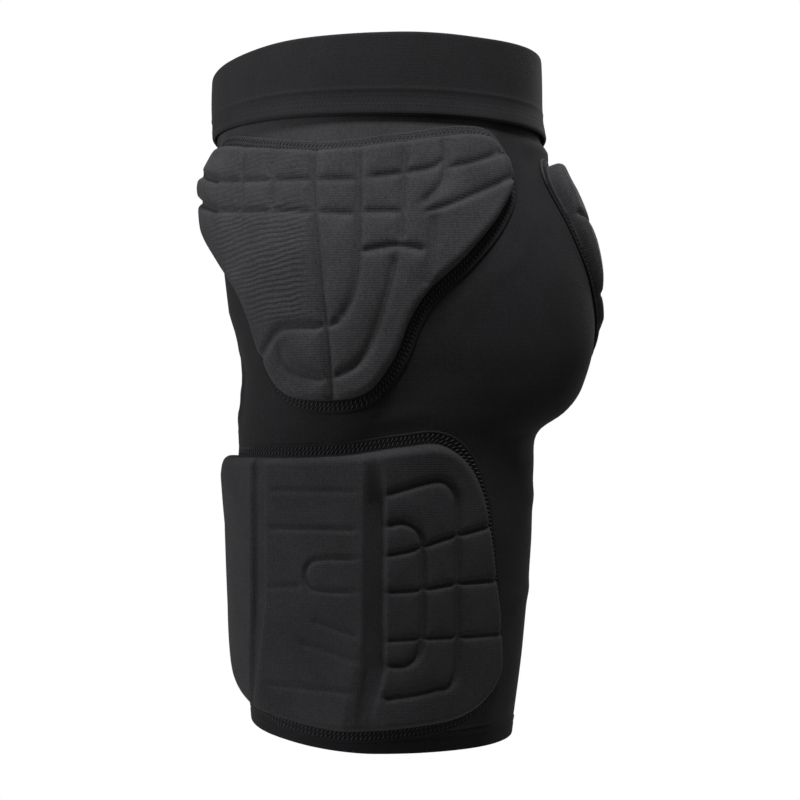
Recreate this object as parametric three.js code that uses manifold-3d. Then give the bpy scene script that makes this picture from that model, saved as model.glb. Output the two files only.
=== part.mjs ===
// Padded protective shorts: a hollow knitted shell with a wide elastic waistband, turned-up
// hems, and moulded foam pads sewn over the hips, the thighs and the tailbone.
// Millimetres, +Z up, +X the wearer's left, -Y the wearer's front. The origin is the middle
// of the waist opening.
import * as THREE from "three";
import { mergeVertices } from "three/addons/utils/BufferGeometryUtils.js";
import Module from "manifold-3d";

// Heights of the shorts
const RISE = 236; // waist opening down to the crotch
const INSEAM = 182; // crotch down to the leg opening
const RIM_FRONT_DIP = 8; // the band's top edge at the front, below the opening's middle
const RIM_SIDE_RISE = 2;
const RIM_BACK_RISE = 8;
const HEM_FRONT_RISE = 9; // the leg opening's front, above its side and back

// Half widths, from the middle plane out to the side of the shell
const WAIST_HALF_WIDTH = 137;
const HIP_HALF_WIDTH = 170;
const THIGH_HALF_WIDTH = 166;
const HEM_HALF_WIDTH = 154;

// Depths, from the middle forward and backward to the shell
const WAIST_FRONT = 104;
const HIP_FRONT = 88;
const THIGH_FRONT = 82;
const HEM_FRONT = 75;
const WAIST_BACK = 105;
const SEAT_BACK = 137;
const THIGH_BACK = 98;
const HEM_BACK = 84;

// Where the middle of one leg lies, from the middle plane
const HIP_LEG_MIDDLE = 64;
const THIGH_MIDDLE = 88;
const HEM_MIDDLE = 84;

// Cloth
const SHELL_WALL = 1.5;
const BAND_HEIGHT = 46;
const BAND_THICKNESS = 2.6;
const BAND_RIDGE = 0.7; // how far the raised line stands out of the band
const BAND_LAP = 10; // how far the shell reaches up behind the band
const HEM_HEIGHT = 10;
const HEM_THICKNESS = 1.8;
const CLOTH_GAP = 0.5; // between a piece and the cloth it is sewn to

// Pads
const PAD_SEAT = 1.5; // between a pad and the shell, so that their facets stay apart
const EDGE_THICKNESS = 1.3; // the thin sewn edge round each pad
const EDGE_WIDTH = 8;
const GROOVE_WIDTH = 5;
const GROOVE_DEPTH = 4.5;
const PAD_CHAMFER = 4;
const HIP_PAD_WIDTH = 224;
const HIP_PAD_HEIGHT = 155;
const HIP_PAD_THICKNESS = 9.5;
const HIP_PAD_BELOW_BAND = 13;
const HIP_PAD_FORWARD = 27; // from the side line forward to the pad's middle
const THIGH_PAD_WIDTH = 199;
const THIGH_PAD_THICKNESS = 10;
const THIGH_PAD_FORWARD = 24;
const THIGH_PAD_BELOW_HIP_PAD = 26;
const THIGH_PAD_ABOVE_HEM = 13;
const THIGH_CHANNEL_WIDTH = 11;
const TAIL_PAD_WIDTH = 168;
const TAIL_PAD_HEIGHT = 124;
const TAIL_PAD_THICKNESS = 7;
const TAIL_PAD_BELOW_BAND = 20;

// How finely the curved surfaces are cut into facets
const COLUMNS = 22; // round half of the torso, or once round a leg
const HIP_PAD_FACET = 23;
const THIGH_PAD_FACET = 20;
const TAIL_PAD_FACET = 22;
const FACET_ASPECT = 1.5; // a pad's facets are this much taller than wide
const WALK_STEP = THREE.MathUtils.degToRad(2.5);
const NORMAL_REACH = 11; // a pad's lift direction is taken over this much of the surface
const TURN_REACH = 0.02; // radians, the same for a point of a band or hem
const HEIGHT_REACH = 1;
const CUT_CLEAR = 1; // how far a cutter stands out of what it cuts
const MERGE_WITHIN = 1e-4; // closer vertices are one
const LEAST_PARTING = 1e-6; // stands for none, where a size is divided by it

const LENGTH = RISE + INSEAM;
const HIP_PAD_TOP = BAND_HEIGHT + HIP_PAD_BELOW_BAND;
const THIGH_PAD_TOP = HIP_PAD_TOP + HIP_PAD_HEIGHT + THIGH_PAD_BELOW_HIP_PAD;
const THIGH_PAD_HEIGHT = LENGTH - THIGH_PAD_ABOVE_HEM - THIGH_PAD_TOP;
const TAIL_PAD_TOP = BAND_HEIGHT + TAIL_PAD_BELOW_BAND;

// The sizes that a section's numbers point to: 0 waist, 1 hips, 2 thigh, 3 hem.
const GIRTHS = {
  side: [WAIST_HALF_WIDTH, HIP_HALF_WIDTH, THIGH_HALF_WIDTH, HEM_HALF_WIDTH],
  middle: [0, HIP_LEG_MIDDLE, THIGH_MIDDLE, HEM_MIDDLE],
  front: [WAIST_FRONT, HIP_FRONT, THIGH_FRONT, HEM_FRONT],
  back: [WAIST_BACK, SEAT_BACK, THIGH_BACK, HEM_BACK],
};

// Level sections of one leg and its half of the torso, from the top down. Height is a share
// of the rise (torso) and of the inseam (leg). Side, middle, front and back count along the
// girths above, and 1.2 is a fifth of the way from hips to thigh. Parted is how far the two
// halves have come apart, 1 at the crotch. Round is the superellipse's power.
const SECTIONS = [
  { torso: -0.05, leg: 0.0, side: 0.0, middle: 0.0, front: 0.0, back: 0.0, parted: 0.0, round: 2.25 },
  { torso: 0.19, leg: 0.0, side: 0.03, middle: 0.0, front: 0.0, back: 0.06, parted: 0.0, round: 2.25 },
  { torso: 0.32, leg: 0.0, side: 0.33, middle: 0.22, front: 0.15, back: 0.29, parted: 0.08, round: 2.28 },
  { torso: 0.47, leg: 0.0, side: 0.7, middle: 0.56, front: 0.35, back: 0.74, parted: 0.13, round: 2.31 },
  { torso: 0.61, leg: 0.0, side: 0.93, middle: 0.84, front: 0.65, back: 0.97, parted: 0.2, round: 2.33 },
  { torso: 0.76, leg: 0.0, side: 1.0, middle: 1.0, front: 1.0, back: 0.98, parted: 0.3, round: 2.33 },
  { torso: 0.87, leg: 0.0, side: 1.25, middle: 1.37, front: 2.0, back: 1.22, parted: 0.45, round: 2.28 },
  { torso: 0.94, leg: 0.0, side: 1.5, middle: 1.67, front: 2.25, back: 1.51, parted: 0.68, round: 2.2 },
  { torso: 1.0, leg: 0.0, side: 1.75, middle: 1.96, front: 2.15, back: 1.88, parted: 1.0, round: 2.12 },
  { torso: 1.0, leg: 0.09, side: 2.0, middle: 2.0, front: 2.0, back: 2.0, parted: 1.11, round: 2.1 },
  { torso: 1.0, leg: 0.36, side: 2.17, middle: 2.0, front: 2.1, back: 2.15, parted: 1.16, round: 2.1 },
  { torso: 1.0, leg: 0.69, side: 2.58, middle: 2.5, front: 2.4, back: 2.5, parted: 1.19, round: 2.1 },
  { torso: 1.0, leg: 1.0, side: 3.0, middle: 3.0, front: 3.0, back: 3.0, parted: 1.22, round: 2.1 },
];

// The shell's rows of facets, as shares of the way from the band to the crotch and of the
// inseam, closer at the seat's fold and the crotch.
const TORSO_ROWS = [0, 0.11, 0.24, 0.37, 0.5, 0.66, 0.8, 0.91, 0.965, 1];
const LEG_ROWS = [0.03, 0.07, 0.13, 0.21, 0.45, 0.72];

// Half of the hip pad's edge, from its top middle round the rear wing to its foot: across is
// a share of half the width, down a share of the height. The front half mirrors it.
const HIP_PAD_EDGE = [
  { across: 0.0, down: 0.07 },
  { across: 0.38, down: 0.04 },
  { across: 0.73, down: 0.0 },
  { across: 0.9, down: 0.02 },
  { across: 1.0, down: 0.16 },
  { across: 0.9, down: 0.31 },
  { across: 0.71, down: 0.47 },
  { across: 0.53, down: 0.59 },
  { across: 0.43, down: 0.7 },
  { across: 0.35, down: 0.84 },
  { across: 0.21, down: 0.97 },
  { across: 0.0, down: 1.0 },
];

// The hip pad's grooves as paths of [across, down]: across is a share of half the width, to
// the rear, and down a share of the height.
const HIP_PAD_GROOVES = {
  middle: [[-0.05, 0.0], [-0.02, 0.42], [0.01, 0.7], [0.04, 1.05]],
  firstColumn: [[-0.48, 0.0], [-0.48, 0.33]],
  secondColumn: [[-0.27, 0.0], [-0.27, 0.32]],
  fourthColumn: [[0.17, 0.0], [0.17, 0.5], [0.13, 0.66], [0.07, 0.73]],
  fifthColumn: [[0.39, 0.0], [0.39, 0.49]],
  sixthColumn: [[0.61, -0.03], [0.59, 0.2], [0.5, 0.33]],
  upperRow: [[-0.95, 0.1], [-0.66, 0.17], [0.17, 0.2], [0.42, 0.18], [0.61, 0.11], [0.92, 0.05]],
  lowerRow: [[-1.05, 0.21], [-0.66, 0.29], [0.17, 0.33], [0.39, 0.33]],
  rearFinger: [[0.5, 0.33], [0.62, 0.3], [0.96, 0.18]],
  footCurve: [[0.36, 0.5], [0.28, 0.71], [0.16, 0.87], [0.04, 0.91]],
  footArch: [[-0.38, 0.85], [-0.19, 0.73], [0.07, 0.72]],
};

// The thigh pad's edge, all round from the top middle to the rear: shares of half the width
// and of the height.
const THIGH_PAD_EDGE = [
  { across: 0.0, down: 0.04 },
  { across: 0.4, down: 0.01 },
  { across: 0.62, down: 0.0 },
  { across: 0.77, down: 0.06 },
  { across: 0.88, down: 0.2 },
  { across: 0.95, down: 0.45 },
  { across: 1.0, down: 0.7 },
  { across: 0.97, down: 0.84 },
  { across: 0.76, down: 0.95 },
  { across: 0.4, down: 0.99 },
  { across: 0.0, down: 1.0 },
  { across: -0.45, down: 0.95 },
  { across: -0.8, down: 0.88 },
  { across: -0.97, down: 0.74 },
  { across: -1.0, down: 0.5 },
  { across: -1.0, down: 0.2 },
  { across: -0.95, down: 0.06 },
  { across: -0.7, down: 0.05 },
];

const THIGH_PAD_GROOVES = {
  frontCrease: [[-0.43, 0.04], [-0.44, 1.0]],
  outerArchTop: [[0.24, 0.19], [0.52, 0.12], [0.68, 0.21], [0.69, 0.36]],
  outerArchFoot: [[0.69, 0.36], [0.69, 0.82], [0.55, 0.87], [0.24, 0.88]],
  innerArch: [[0.26, 0.29], [0.42, 0.28], [0.51, 0.4], [0.5, 0.7], [0.42, 0.77], [0.24, 0.77]],
  upperSpoke: [[0.24, 0.39], [0.65, 0.33], [0.93, 0.29]],
  middleSpoke: [[0.24, 0.52], [0.65, 0.49], [0.98, 0.48]],
  lowerSpoke: [[0.24, 0.69], [1.04, 0.68]],
  secondSlat: [[-0.38, 0.29], [0.14, 0.29]],
  thirdSlat: [[-0.1, 0.4], [0.14, 0.4]],
  fourthSlat: [[-0.1, 0.51], [0.14, 0.51]],
  lowestSlat: [[-0.38, 0.87], [0.14, 0.88]],
};
const THIGH_CHANNELS = {
  side: [[0.23, 0.1], [0.23, 0.9]],
};

// Half of the tailbone pad's edge, from its top middle to its foot.
const TAIL_PAD_EDGE = [
  { across: 0.0, down: 0.02 },
  { across: 0.45, down: 0.0 },
  { across: 0.85, down: 0.08 },
  { across: 1.0, down: 0.35 },
  { across: 0.95, down: 0.65 },
  { across: 0.72, down: 0.9 },
  { across: 0.4, down: 1.0 },
  { across: 0.0, down: 0.97 },
];

const TAIL_PAD_GROOVES = {
  middle: [[0.0, -0.1], [0.0, 1.1]],
  upperRow: [[-1.1, 0.34], [0.0, 0.38], [1.1, 0.34]],
  lowerRow: [[-1.1, 0.7], [0.0, 0.66], [1.1, 0.7]],
};

const wasm = await Module();
wasm.setup();

// Sections of the shell

function alongGirths(sizes, count) {
  const from = Math.min(Math.floor(count), sizes.length - 2);
  return THREE.MathUtils.lerp(sizes[from], sizes[from + 1], count - from);
}

const STATIONS = SECTIONS.map((row) => ({
  depth: row.torso * RISE + row.leg * INSEAM,
  side: alongGirths(GIRTHS.side, row.side),
  middle: alongGirths(GIRTHS.middle, row.middle),
  front: alongGirths(GIRTHS.front, row.front),
  back: alongGirths(GIRTHS.back, row.back),
  parted: row.parted,
  round: row.round,
}));

function slopeAt(key, i) {
  const before = STATIONS[Math.max(i - 1, 0)];
  const after = STATIONS[Math.min(i + 1, STATIONS.length - 1)];
  return (after[key] - before[key]) / (after.depth - before.depth);
}

// The shell's section at height z: a smooth curve through the stations.
function sectionAt(z) {
  let i = 0;
  while (i < STATIONS.length - 2 && STATIONS[i + 1].depth < -z) i += 1;
  const upper = STATIONS[i];
  const lower = STATIONS[i + 1];
  const span = lower.depth - upper.depth;
  const t = THREE.MathUtils.clamp((-z - upper.depth) / span, 0, 1);
  const section = {};
  for (const key of ["side", "middle", "front", "back", "parted", "round"]) {
    section[key] =
      (2 * t ** 3 - 3 * t ** 2 + 1) * upper[key] +
      (t ** 3 - 2 * t ** 2 + t) * span * slopeAt(key, i) +
      (3 * t ** 2 - 2 * t ** 3) * lower[key] +
      (t ** 3 - t ** 2) * span * slopeAt(key, i + 1);
  }
  return section;
}

// The angle at which a section meets the middle plane: 90 degrees where the torso is one
// tube, 180 degrees once the legs have parted.
function lastAngle(section) {
  const parted = THREE.MathUtils.clamp(section.parted, 0, 1);
  return Math.PI - Math.acos(parted ** (section.round / 2));
}

// A point of the section. Angle 0 is the wearer's side, and it grows towards the back.
function skinPoint(section, angle, z) {
  const across = Math.abs(Math.cos(angle)) ** (2 / section.round);
  const along = Math.abs(Math.sin(angle)) ** (2 / section.round);
  const inner = section.middle / Math.max(section.parted, LEAST_PARTING);
  const x =
    Math.cos(angle) > 0
      ? section.middle + (section.side - section.middle) * across
      : section.middle - inner * across;
  const y = Math.sin(angle) > 0 ? section.back * along : -section.front * along;
  return new THREE.Vector3(x, y, z);
}

// Walks along a section by a distance, and gives the point reached.
function walk(section, start, distance, z) {
  const step = distance < 0 ? -WALK_STEP : WALK_STEP;
  let left = Math.abs(distance);
  let angle = start;
  let here = skinPoint(section, angle, z);
  for (;;) {
    const next = skinPoint(section, angle + step, z);
    const length = here.distanceTo(next);
    if (length >= left) return here.lerp(next, left / length);
    left -= length;
    angle += step;
    here = next;
  }
}

// A place on the left side of the shell: u runs from the side line to the back.
function sidePlace(u, z) {
  return walk(sectionAt(z), 0, u, z);
}

// A place on the seat: u runs from the middle of the back to the wearer's right.
function seatPlace(u, z) {
  const section = sectionAt(z);
  const place = walk(section, lastAngle(section), -Math.abs(u), z);
  place.x *= -Math.sign(u);
  return place;
}

// The point that stands off the shell by a lift, square to the surface.
function lifted(place, u, z, lift) {
  const back = place(u + NORMAL_REACH, z).sub(place(u - NORMAL_REACH, z));
  const up = place(u, z + NORMAL_REACH).sub(place(u, z - NORMAL_REACH));
  return place(u, z).addScaledVector(back.cross(up).normalize(), lift);
}

// Meshes and solids

function meshGeometry(points, triangles) {
  const geometry = new THREE.BufferGeometry().setFromPoints(points);
  geometry.setIndex(triangles.flat());
  return geometry;
}

// A solid that keeps the edges between its facets of two triangles through cuts and joins,
// although they are flat, because the facets are bent afterwards.
function toSolid(geometry) {
  const bare = geometry.index ? geometry.toNonIndexed() : geometry.clone();
  bare.deleteAttribute("normal");
  bare.deleteAttribute("uv");
  const merged = mergeVertices(bare, MERGE_WITHIN);
  return new wasm.Manifold(
    new wasm.Mesh({
      numProp: 3,
      vertProperties: merged.attributes.position.array,
      triVerts: new Uint32Array(merged.index.array),
      faceID: new Uint32Array(merged.index.count / 3).map((_, i) => i / 2),
    }),
  );
}

function fromSolid(solid) {
  const { vertProperties, triVerts } = solid.getMesh();
  const geometry = new THREE.BufferGeometry();
  geometry.setAttribute("position", new THREE.BufferAttribute(vertProperties, 3));
  geometry.setIndex(new THREE.BufferAttribute(triVerts, 1));
  return geometry;
}

function mirrored(geometry) {
  const other = geometry.clone().scale(-1, 1, 1);
  const index = other.index;
  for (let i = 0; i < index.count; i += 3) {
    const second = index.getX(i + 1);
    index.setX(i + 1, index.getX(i + 2));
    index.setX(i + 2, second);
  }
  return other;
}

// Gives an open sheet a wall on its inner side, and closes it at its rims.
function thicken(sheet, wall) {
  sheet.computeVertexNormals();
  const position = sheet.attributes.position;
  const normal = sheet.attributes.normal;
  const count = position.count;
  const outer = [];
  const inner = [];
  for (let i = 0; i < count; i += 1) {
    const point = new THREE.Vector3().fromBufferAttribute(position, i);
    const out = new THREE.Vector3().fromBufferAttribute(normal, i);
    outer.push(point);
    inner.push(point.clone().addScaledVector(out, -wall));
  }
  const triangles = [];
  const edges = new Map();
  const index = sheet.index;
  for (let i = 0; i < index.count; i += 3) {
    const [a, b, c] = [index.getX(i), index.getX(i + 1), index.getX(i + 2)];
    triangles.push([a, b, c], [count + c, count + b, count + a]);
    for (const [from, to] of [[a, b], [b, c], [c, a]]) edges.set(`${from} ${to}`, [from, to]);
  }
  for (const [from, to] of edges.values()) {
    if (edges.has(`${to} ${from}`)) continue;
    triangles.push([to, from, count + from], [to, count + from, count + to]);
  }
  return meshGeometry([...outer, ...inner], triangles);
}

// A closed hoop through sections of equally many points.
function hoop(sections) {
  const size = sections[0].length;
  const triangles = [];
  sections.forEach((_, i) => {
    const next = (i + 1) % sections.length;
    for (let j = 0; j < size; j += 1) {
      const side = (j + 1) % size;
      const [a, b] = [i * size + j, i * size + side];
      const [c, d] = [next * size + side, next * size + j];
      triangles.push([a, d, c], [a, c, b]);
    }
  });
  return meshGeometry(sections.flat(), triangles);
}

// Cloth pieces

// A row of the left half's points, from front to back round the side, and once round the
// leg below the crotch. Rise lifts each point by its angle.
function shellRow(z, rise = () => 0) {
  const last = lastAngle(sectionAt(z));
  const row = [];
  for (let i = 0; i <= COLUMNS; i += 1) {
    const angle = THREE.MathUtils.lerp(-last, last, i / COLUMNS);
    const height = z + rise(angle);
    const point = skinPoint(sectionAt(height), angle, height);
    const onMiddlePlane = -z <= RISE && i % COLUMNS === 0;
    row.push(onMiddlePlane ? point.setX(0) : point);
  }
  return row;
}

// The knitted shell in one: the two halves meet on the middle plane down to the crotch, and
// each goes on as a closed leg below it.
function wholeShell() {
  const heights = [
    -(BAND_HEIGHT - BAND_LAP),
    ...TORSO_ROWS.map((share) => -THREE.MathUtils.lerp(BAND_HEIGHT, RISE, share)),
    ...LEG_ROWS.map((share) => -RISE - share * INSEAM),
  ];
  const rows = heights.map((z) => shellRow(z));
  rows.push(shellRow(-(LENGTH - HEM_HEIGHT - CLOTH_GAP), hemRise));
  const points = [];
  rows.slice(1).forEach((row, i) => {
    for (let j = 0; j < COLUMNS; j += 1) {
      const [a, b, c, d] = [rows[i][j], rows[i][j + 1], row[j + 1], row[j]];
      points.push(a, d, c, a, c, b);
      const [e, f, g, h] = [a, b, c, d].map((p) => new THREE.Vector3(-p.x, p.y, p.z));
      points.push(e, g, h, e, f, g);
    }
  });
  const loose = new THREE.BufferGeometry().setFromPoints(points);
  return thicken(withoutSlivers(mergeVertices(loose, MERGE_WITHIN)), SHELL_WALL);
}

// Drops the triangles that lost a side when the vertices were merged.
function withoutSlivers(sheet) {
  const kept = [];
  for (let i = 0; i < sheet.index.count; i += 3) {
    const [a, b, c] = [0, 1, 2].map((k) => sheet.index.getX(i + k));
    if (a !== b && b !== c && c !== a) kept.push(a, b, c);
  }
  sheet.setIndex(kept);
  return sheet;
}

// The shell as three solids, cut level at the crotch: the torso, and the left and right leg
// a little below it.
function shellPieces() {
  const whole = toSolid(wholeShell());
  const torso = whole.trimByPlane([0, 0, 1], -(RISE - CLOTH_GAP / 2));
  const legs = whole.trimByPlane([0, 0, -1], RISE + CLOTH_GAP / 2);
  return { torso: fromSolid(torso), leg: fromSolid(legs.trimByPlane([1, 0, 0], 0)) };
}

// The height of the band's top edge, a smooth curve through its front, side and back.
function rimHeight(forward) {
  const tilt = (RIM_BACK_RISE + RIM_FRONT_DIP) / 2;
  const bow = (RIM_BACK_RISE - RIM_FRONT_DIP) / 2 - RIM_SIDE_RISE;
  return RIM_SIDE_RISE - tilt * forward + bow * forward ** 2;
}

// The band's section, from its inner lower edge outwards and up: out is a share of its
// thickness, ridge of the raised line's height, up a share of its height.
const BAND_PROFILE = [
  { out: 0.0, ridge: 0, up: 0.0 },
  { out: 1.0, ridge: 0, up: 0.0 },
  { out: 1.0, ridge: 1, up: 0.19 },
  { out: 1.0, ridge: 0, up: 0.25 },
  { out: 1.0, ridge: 0, up: 0.94 },
  { out: 0.5, ridge: 0, up: 1.0 },
  { out: 0.0, ridge: 0, up: 0.95 },
];

function waistband() {
  const sections = [];
  for (let i = 0; i < 2 * COLUMNS; i += 1) {
    const turn = (i / COLUMNS) * Math.PI;
    const forward = -Math.sin(turn);
    const height = BAND_HEIGHT + rimHeight(forward);
    sections.push(
      BAND_PROFILE.map(({ out, ridge, up }) => {
        const z = -BAND_HEIGHT + up * height;
        const lift = CLOTH_GAP + out * BAND_THICKNESS + ridge * BAND_RIDGE;
        return standOff(z, turn, lift);
      }),
    );
  }
  return hoop(sections);
}

// How far the leg opening rises above its lowest point, the most at its front.
function hemRise(angle) {
  return HEM_FRONT_RISE * Math.max(-Math.sin(angle), 0) ** 1.5;
}

// A point off the shell at any turn round a level section, also past the middle plane.
function standOff(z, turn, lift) {
  const around = (angle, height) => {
    const section = sectionAt(height);
    const half = skinPoint(section, Math.asin(Math.sin(angle)), height);
    return Math.cos(angle) < 0 ? half.setX(-half.x) : half;
  };
  const back = around(turn + TURN_REACH, z).sub(around(turn - TURN_REACH, z));
  const up = around(turn, z + HEIGHT_REACH).sub(around(turn, z - HEIGHT_REACH));
  return around(turn, z).addScaledVector(back.cross(up).normalize(), lift);
}

// The turned-up cloth at the left leg opening goes on from the shell's lower rim: out is a
// share of its thickness from the shell's inner face, up a share of its height.
const HEM_PROFILE = [
  { out: 0.0, up: 0.0 },
  { out: 0.8, up: 0.0 },
  { out: 1.0, up: 0.12 },
  { out: 1.0, up: 1.0 },
  { out: 0.0, up: 1.0 },
];

function legHem() {
  const sections = [];
  for (let i = 0; i < COLUMNS; i += 1) {
    const turn = (i / COLUMNS) * 2 * Math.PI;
    sections.push(
      HEM_PROFILE.map(({ out, up }) => {
        const z = -LENGTH + hemRise(turn) + up * HEM_HEIGHT;
        const around = (angle) => skinPoint(sectionAt(z), angle, z);
        const back = around(turn + TURN_REACH).sub(around(turn - TURN_REACH));
        const away = back.cross(new THREE.Vector3(0, 0, 1)).normalize();
        return around(turn).addScaledVector(away, out * HEM_THICKNESS - SHELL_WALL);
      }),
    );
  }
  return hoop(sections);
}

// Pads

// A flat slab whose faces are cut into small facets, so that it can be bent.
function facetedSlab(width, height, facet, bottom, top) {
  const across = Math.ceil(width / facet);
  const down = Math.ceil(height / (FACET_ASPECT * facet));
  const box = new THREE.BoxGeometry(width, height, top - bottom, across, down, 1);
  return toSolid(box.translate(0, -height / 2, (top + bottom) / 2));
}

function edgeShape(edge, width, height) {
  const points = edge.map(
    ({ across, down }) => new THREE.Vector2((across * width) / 2, -down * height),
  );
  const [first, ...rest] = points;
  return new THREE.Shape().moveTo(first.x, first.y).splineThru([...rest, first]);
}

// An upright cutter through the pad's edge, moved out by grow, whose side leans in above
// the height where the chamfer starts.
function edgeCutter(shape, grow, chamferStart) {
  const bevel = PAD_CHAMFER + CUT_CLEAR;
  const cutter = new THREE.ExtrudeGeometry(shape, {
    depth: 2 * chamferStart,
    curveSegments: 1,
    bevelEnabled: true,
    bevelSegments: 1,
    bevelSize: bevel,
    bevelThickness: bevel,
    bevelOffset: grow - bevel,
  });
  return toSolid(cutter.translate(0, 0, -chamferStart));
}

// A wedge-shaped or flat-bottomed cutter that follows a groove's path on the pad's face.
function grooveCutter(path, width, size, flat) {
  const depth = GROOVE_DEPTH;
  const points = path.map(
    ([across, down]) =>
      new THREE.Vector3((across * size.width) / 2, -down * size.height, size.thickness),
  );
  const curve = new THREE.CatmullRomCurve3(points);
  const mouth = (width / 2) * (1 + CUT_CLEAR / depth);
  const floor = flat ? width / 2 : 0;
  const section = new THREE.Shape([
    new THREE.Vector2(depth, -floor),
    new THREE.Vector2(depth, floor),
    new THREE.Vector2(-CUT_CLEAR, flat ? floor : mouth),
    new THREE.Vector2(-CUT_CLEAR, flat ? -floor : -mouth),
  ]);
  const steps = Math.max(1, Math.round(curve.getLength() / size.facet));
  return toSolid(new THREE.ExtrudeGeometry(section, { steps, extrudePath: curve }));
}

// A moulded pad made flat, with its thin sewn edge, and then bent onto the shell.
function pad({ edge, size, grooves, channels = {}, place, top, forward }) {
  const { width, height, thickness, facet } = size;
  const margin = 2 * EDGE_WIDTH;
  const slab = (bottom, to) => {
    const made = facetedSlab(width + 2 * margin, height + 2 * margin, facet, bottom, to);
    return made.translate([0, margin, 0]);
  };
  const shape = edgeShape(edge, width, height);
  const sewn = slab(0, EDGE_THICKNESS).intersect(edgeCutter(shape, EDGE_WIDTH, thickness));
  let block = slab(EDGE_THICKNESS / 2, thickness).intersect(
    edgeCutter(shape, 0, thickness - PAD_CHAMFER),
  );
  for (const path of Object.values(grooves)) {
    block = block.subtract(grooveCutter(path, GROOVE_WIDTH, size, false));
  }
  for (const path of Object.values(channels)) {
    block = block.subtract(grooveCutter(path, THIGH_CHANNEL_WIDTH, size, true));
  }
  const geometry = fromSolid(sewn.add(block));
  const position = geometry.attributes.position;
  for (let i = 0; i < position.count; i += 1) {
    const u = position.getX(i) - forward;
    const z = position.getY(i) - top;
    const point = lifted(place, u, z, PAD_SEAT + position.getZ(i));
    position.setXYZ(i, point.x, point.y, point.z);
  }
  return geometry;
}

function bothHalves(halfEdge) {
  const inner = halfEdge.slice(1, -1).reverse();
  return [...halfEdge, ...inner.map(({ across, down }) => ({ across: -across, down }))];
}

function hipPad() {
  return pad({
    edge: bothHalves(HIP_PAD_EDGE),
    size: {
      width: HIP_PAD_WIDTH,
      height: HIP_PAD_HEIGHT,
      thickness: HIP_PAD_THICKNESS,
      facet: HIP_PAD_FACET,
    },
    grooves: HIP_PAD_GROOVES,
    place: sidePlace,
    top: HIP_PAD_TOP,
    forward: HIP_PAD_FORWARD,
  });
}

function thighPad() {
  return pad({
    edge: THIGH_PAD_EDGE,
    size: {
      width: THIGH_PAD_WIDTH,
      height: THIGH_PAD_HEIGHT,
      thickness: THIGH_PAD_THICKNESS,
      facet: THIGH_PAD_FACET,
    },
    grooves: THIGH_PAD_GROOVES,
    channels: THIGH_CHANNELS,
    place: sidePlace,
    top: THIGH_PAD_TOP,
    forward: THIGH_PAD_FORWARD,
  });
}

function tailbonePad() {
  return pad({
    edge: bothHalves(TAIL_PAD_EDGE),
    size: {
      width: TAIL_PAD_WIDTH,
      height: TAIL_PAD_HEIGHT,
      thickness: TAIL_PAD_THICKNESS,
      facet: TAIL_PAD_FACET,
    },
    grooves: TAIL_PAD_GROOVES,
    place: seatPlace,
    top: TAIL_PAD_TOP,
    forward: 0,
  });
}

// Finishes

const knit = new THREE.MeshStandardMaterial({ color: 0x1c1c1d, roughness: 0.9, metalness: 0 });
const elastic = new THREE.MeshStandardMaterial({ color: 0x2a2a2b, roughness: 0.85, metalness: 0 });
const padCover = new THREE.MeshStandardMaterial({ color: 0x303031, roughness: 0.8, metalness: 0 });

const shorts = new THREE.Group();

function addPiece(name, geometry, material) {
  const mesh = new THREE.Mesh(geometry, material);
  mesh.name = name;
  shorts.add(mesh);
}

const { torso, leg } = shellPieces();
const hem = legHem();
const hip = hipPad();
const thigh = thighPad();
addPiece("waistband", waistband(), elastic);
addPiece("shorts_torso", torso, knit);
addPiece("shorts_leg_left", leg, knit);
addPiece("shorts_leg_right", mirrored(leg), knit);
addPiece("leg_hem_left", hem, knit);
addPiece("leg_hem_right", mirrored(hem), knit);
addPiece("hip_pad_left", hip, padCover);
addPiece("hip_pad_right", mirrored(hip), padCover);
addPiece("thigh_pad_left", thigh, padCover);
addPiece("thigh_pad_right", mirrored(thigh), padCover);
addPiece("tailbone_pad", tailbonePad(), padCover);

export default shorts;
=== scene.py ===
"""Padded protective shorts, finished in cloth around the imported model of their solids.

Metres, +Z up, +X the wearer's left, -Y the wearer's front. The origin is the middle of the
waist opening. A place on the cloth is given by u, measured round from the side line towards
the back, and by its height z.
"""

import math

import bmesh
import bpy
import numpy as np
from bpy.props import FloatProperty, FloatVectorProperty, PointerProperty
from bpy.types import Operator, Panel, PropertyGroup
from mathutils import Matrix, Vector, noise


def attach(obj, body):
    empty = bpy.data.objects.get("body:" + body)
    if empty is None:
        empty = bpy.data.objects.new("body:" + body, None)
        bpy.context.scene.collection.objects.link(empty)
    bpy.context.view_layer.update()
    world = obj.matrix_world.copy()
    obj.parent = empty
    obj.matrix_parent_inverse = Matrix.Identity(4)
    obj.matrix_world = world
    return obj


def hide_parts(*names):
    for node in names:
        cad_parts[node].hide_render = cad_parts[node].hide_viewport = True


bl_info = {
    "name": "Padded shorts",
    "version": (1, 0, 0),
    "blender": (4, 5, 0),
    "location": "3D View > Sidebar > Shorts",
    "description": "Cloth, moulded pads and stitching of padded protective shorts",
    "category": "Object",
}

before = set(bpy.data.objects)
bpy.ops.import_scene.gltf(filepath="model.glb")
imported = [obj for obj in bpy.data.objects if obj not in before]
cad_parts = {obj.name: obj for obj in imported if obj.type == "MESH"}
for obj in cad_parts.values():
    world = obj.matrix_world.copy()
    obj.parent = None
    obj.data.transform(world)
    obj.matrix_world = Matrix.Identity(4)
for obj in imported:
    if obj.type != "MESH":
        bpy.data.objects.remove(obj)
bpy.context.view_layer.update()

MM = 0.001

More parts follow.
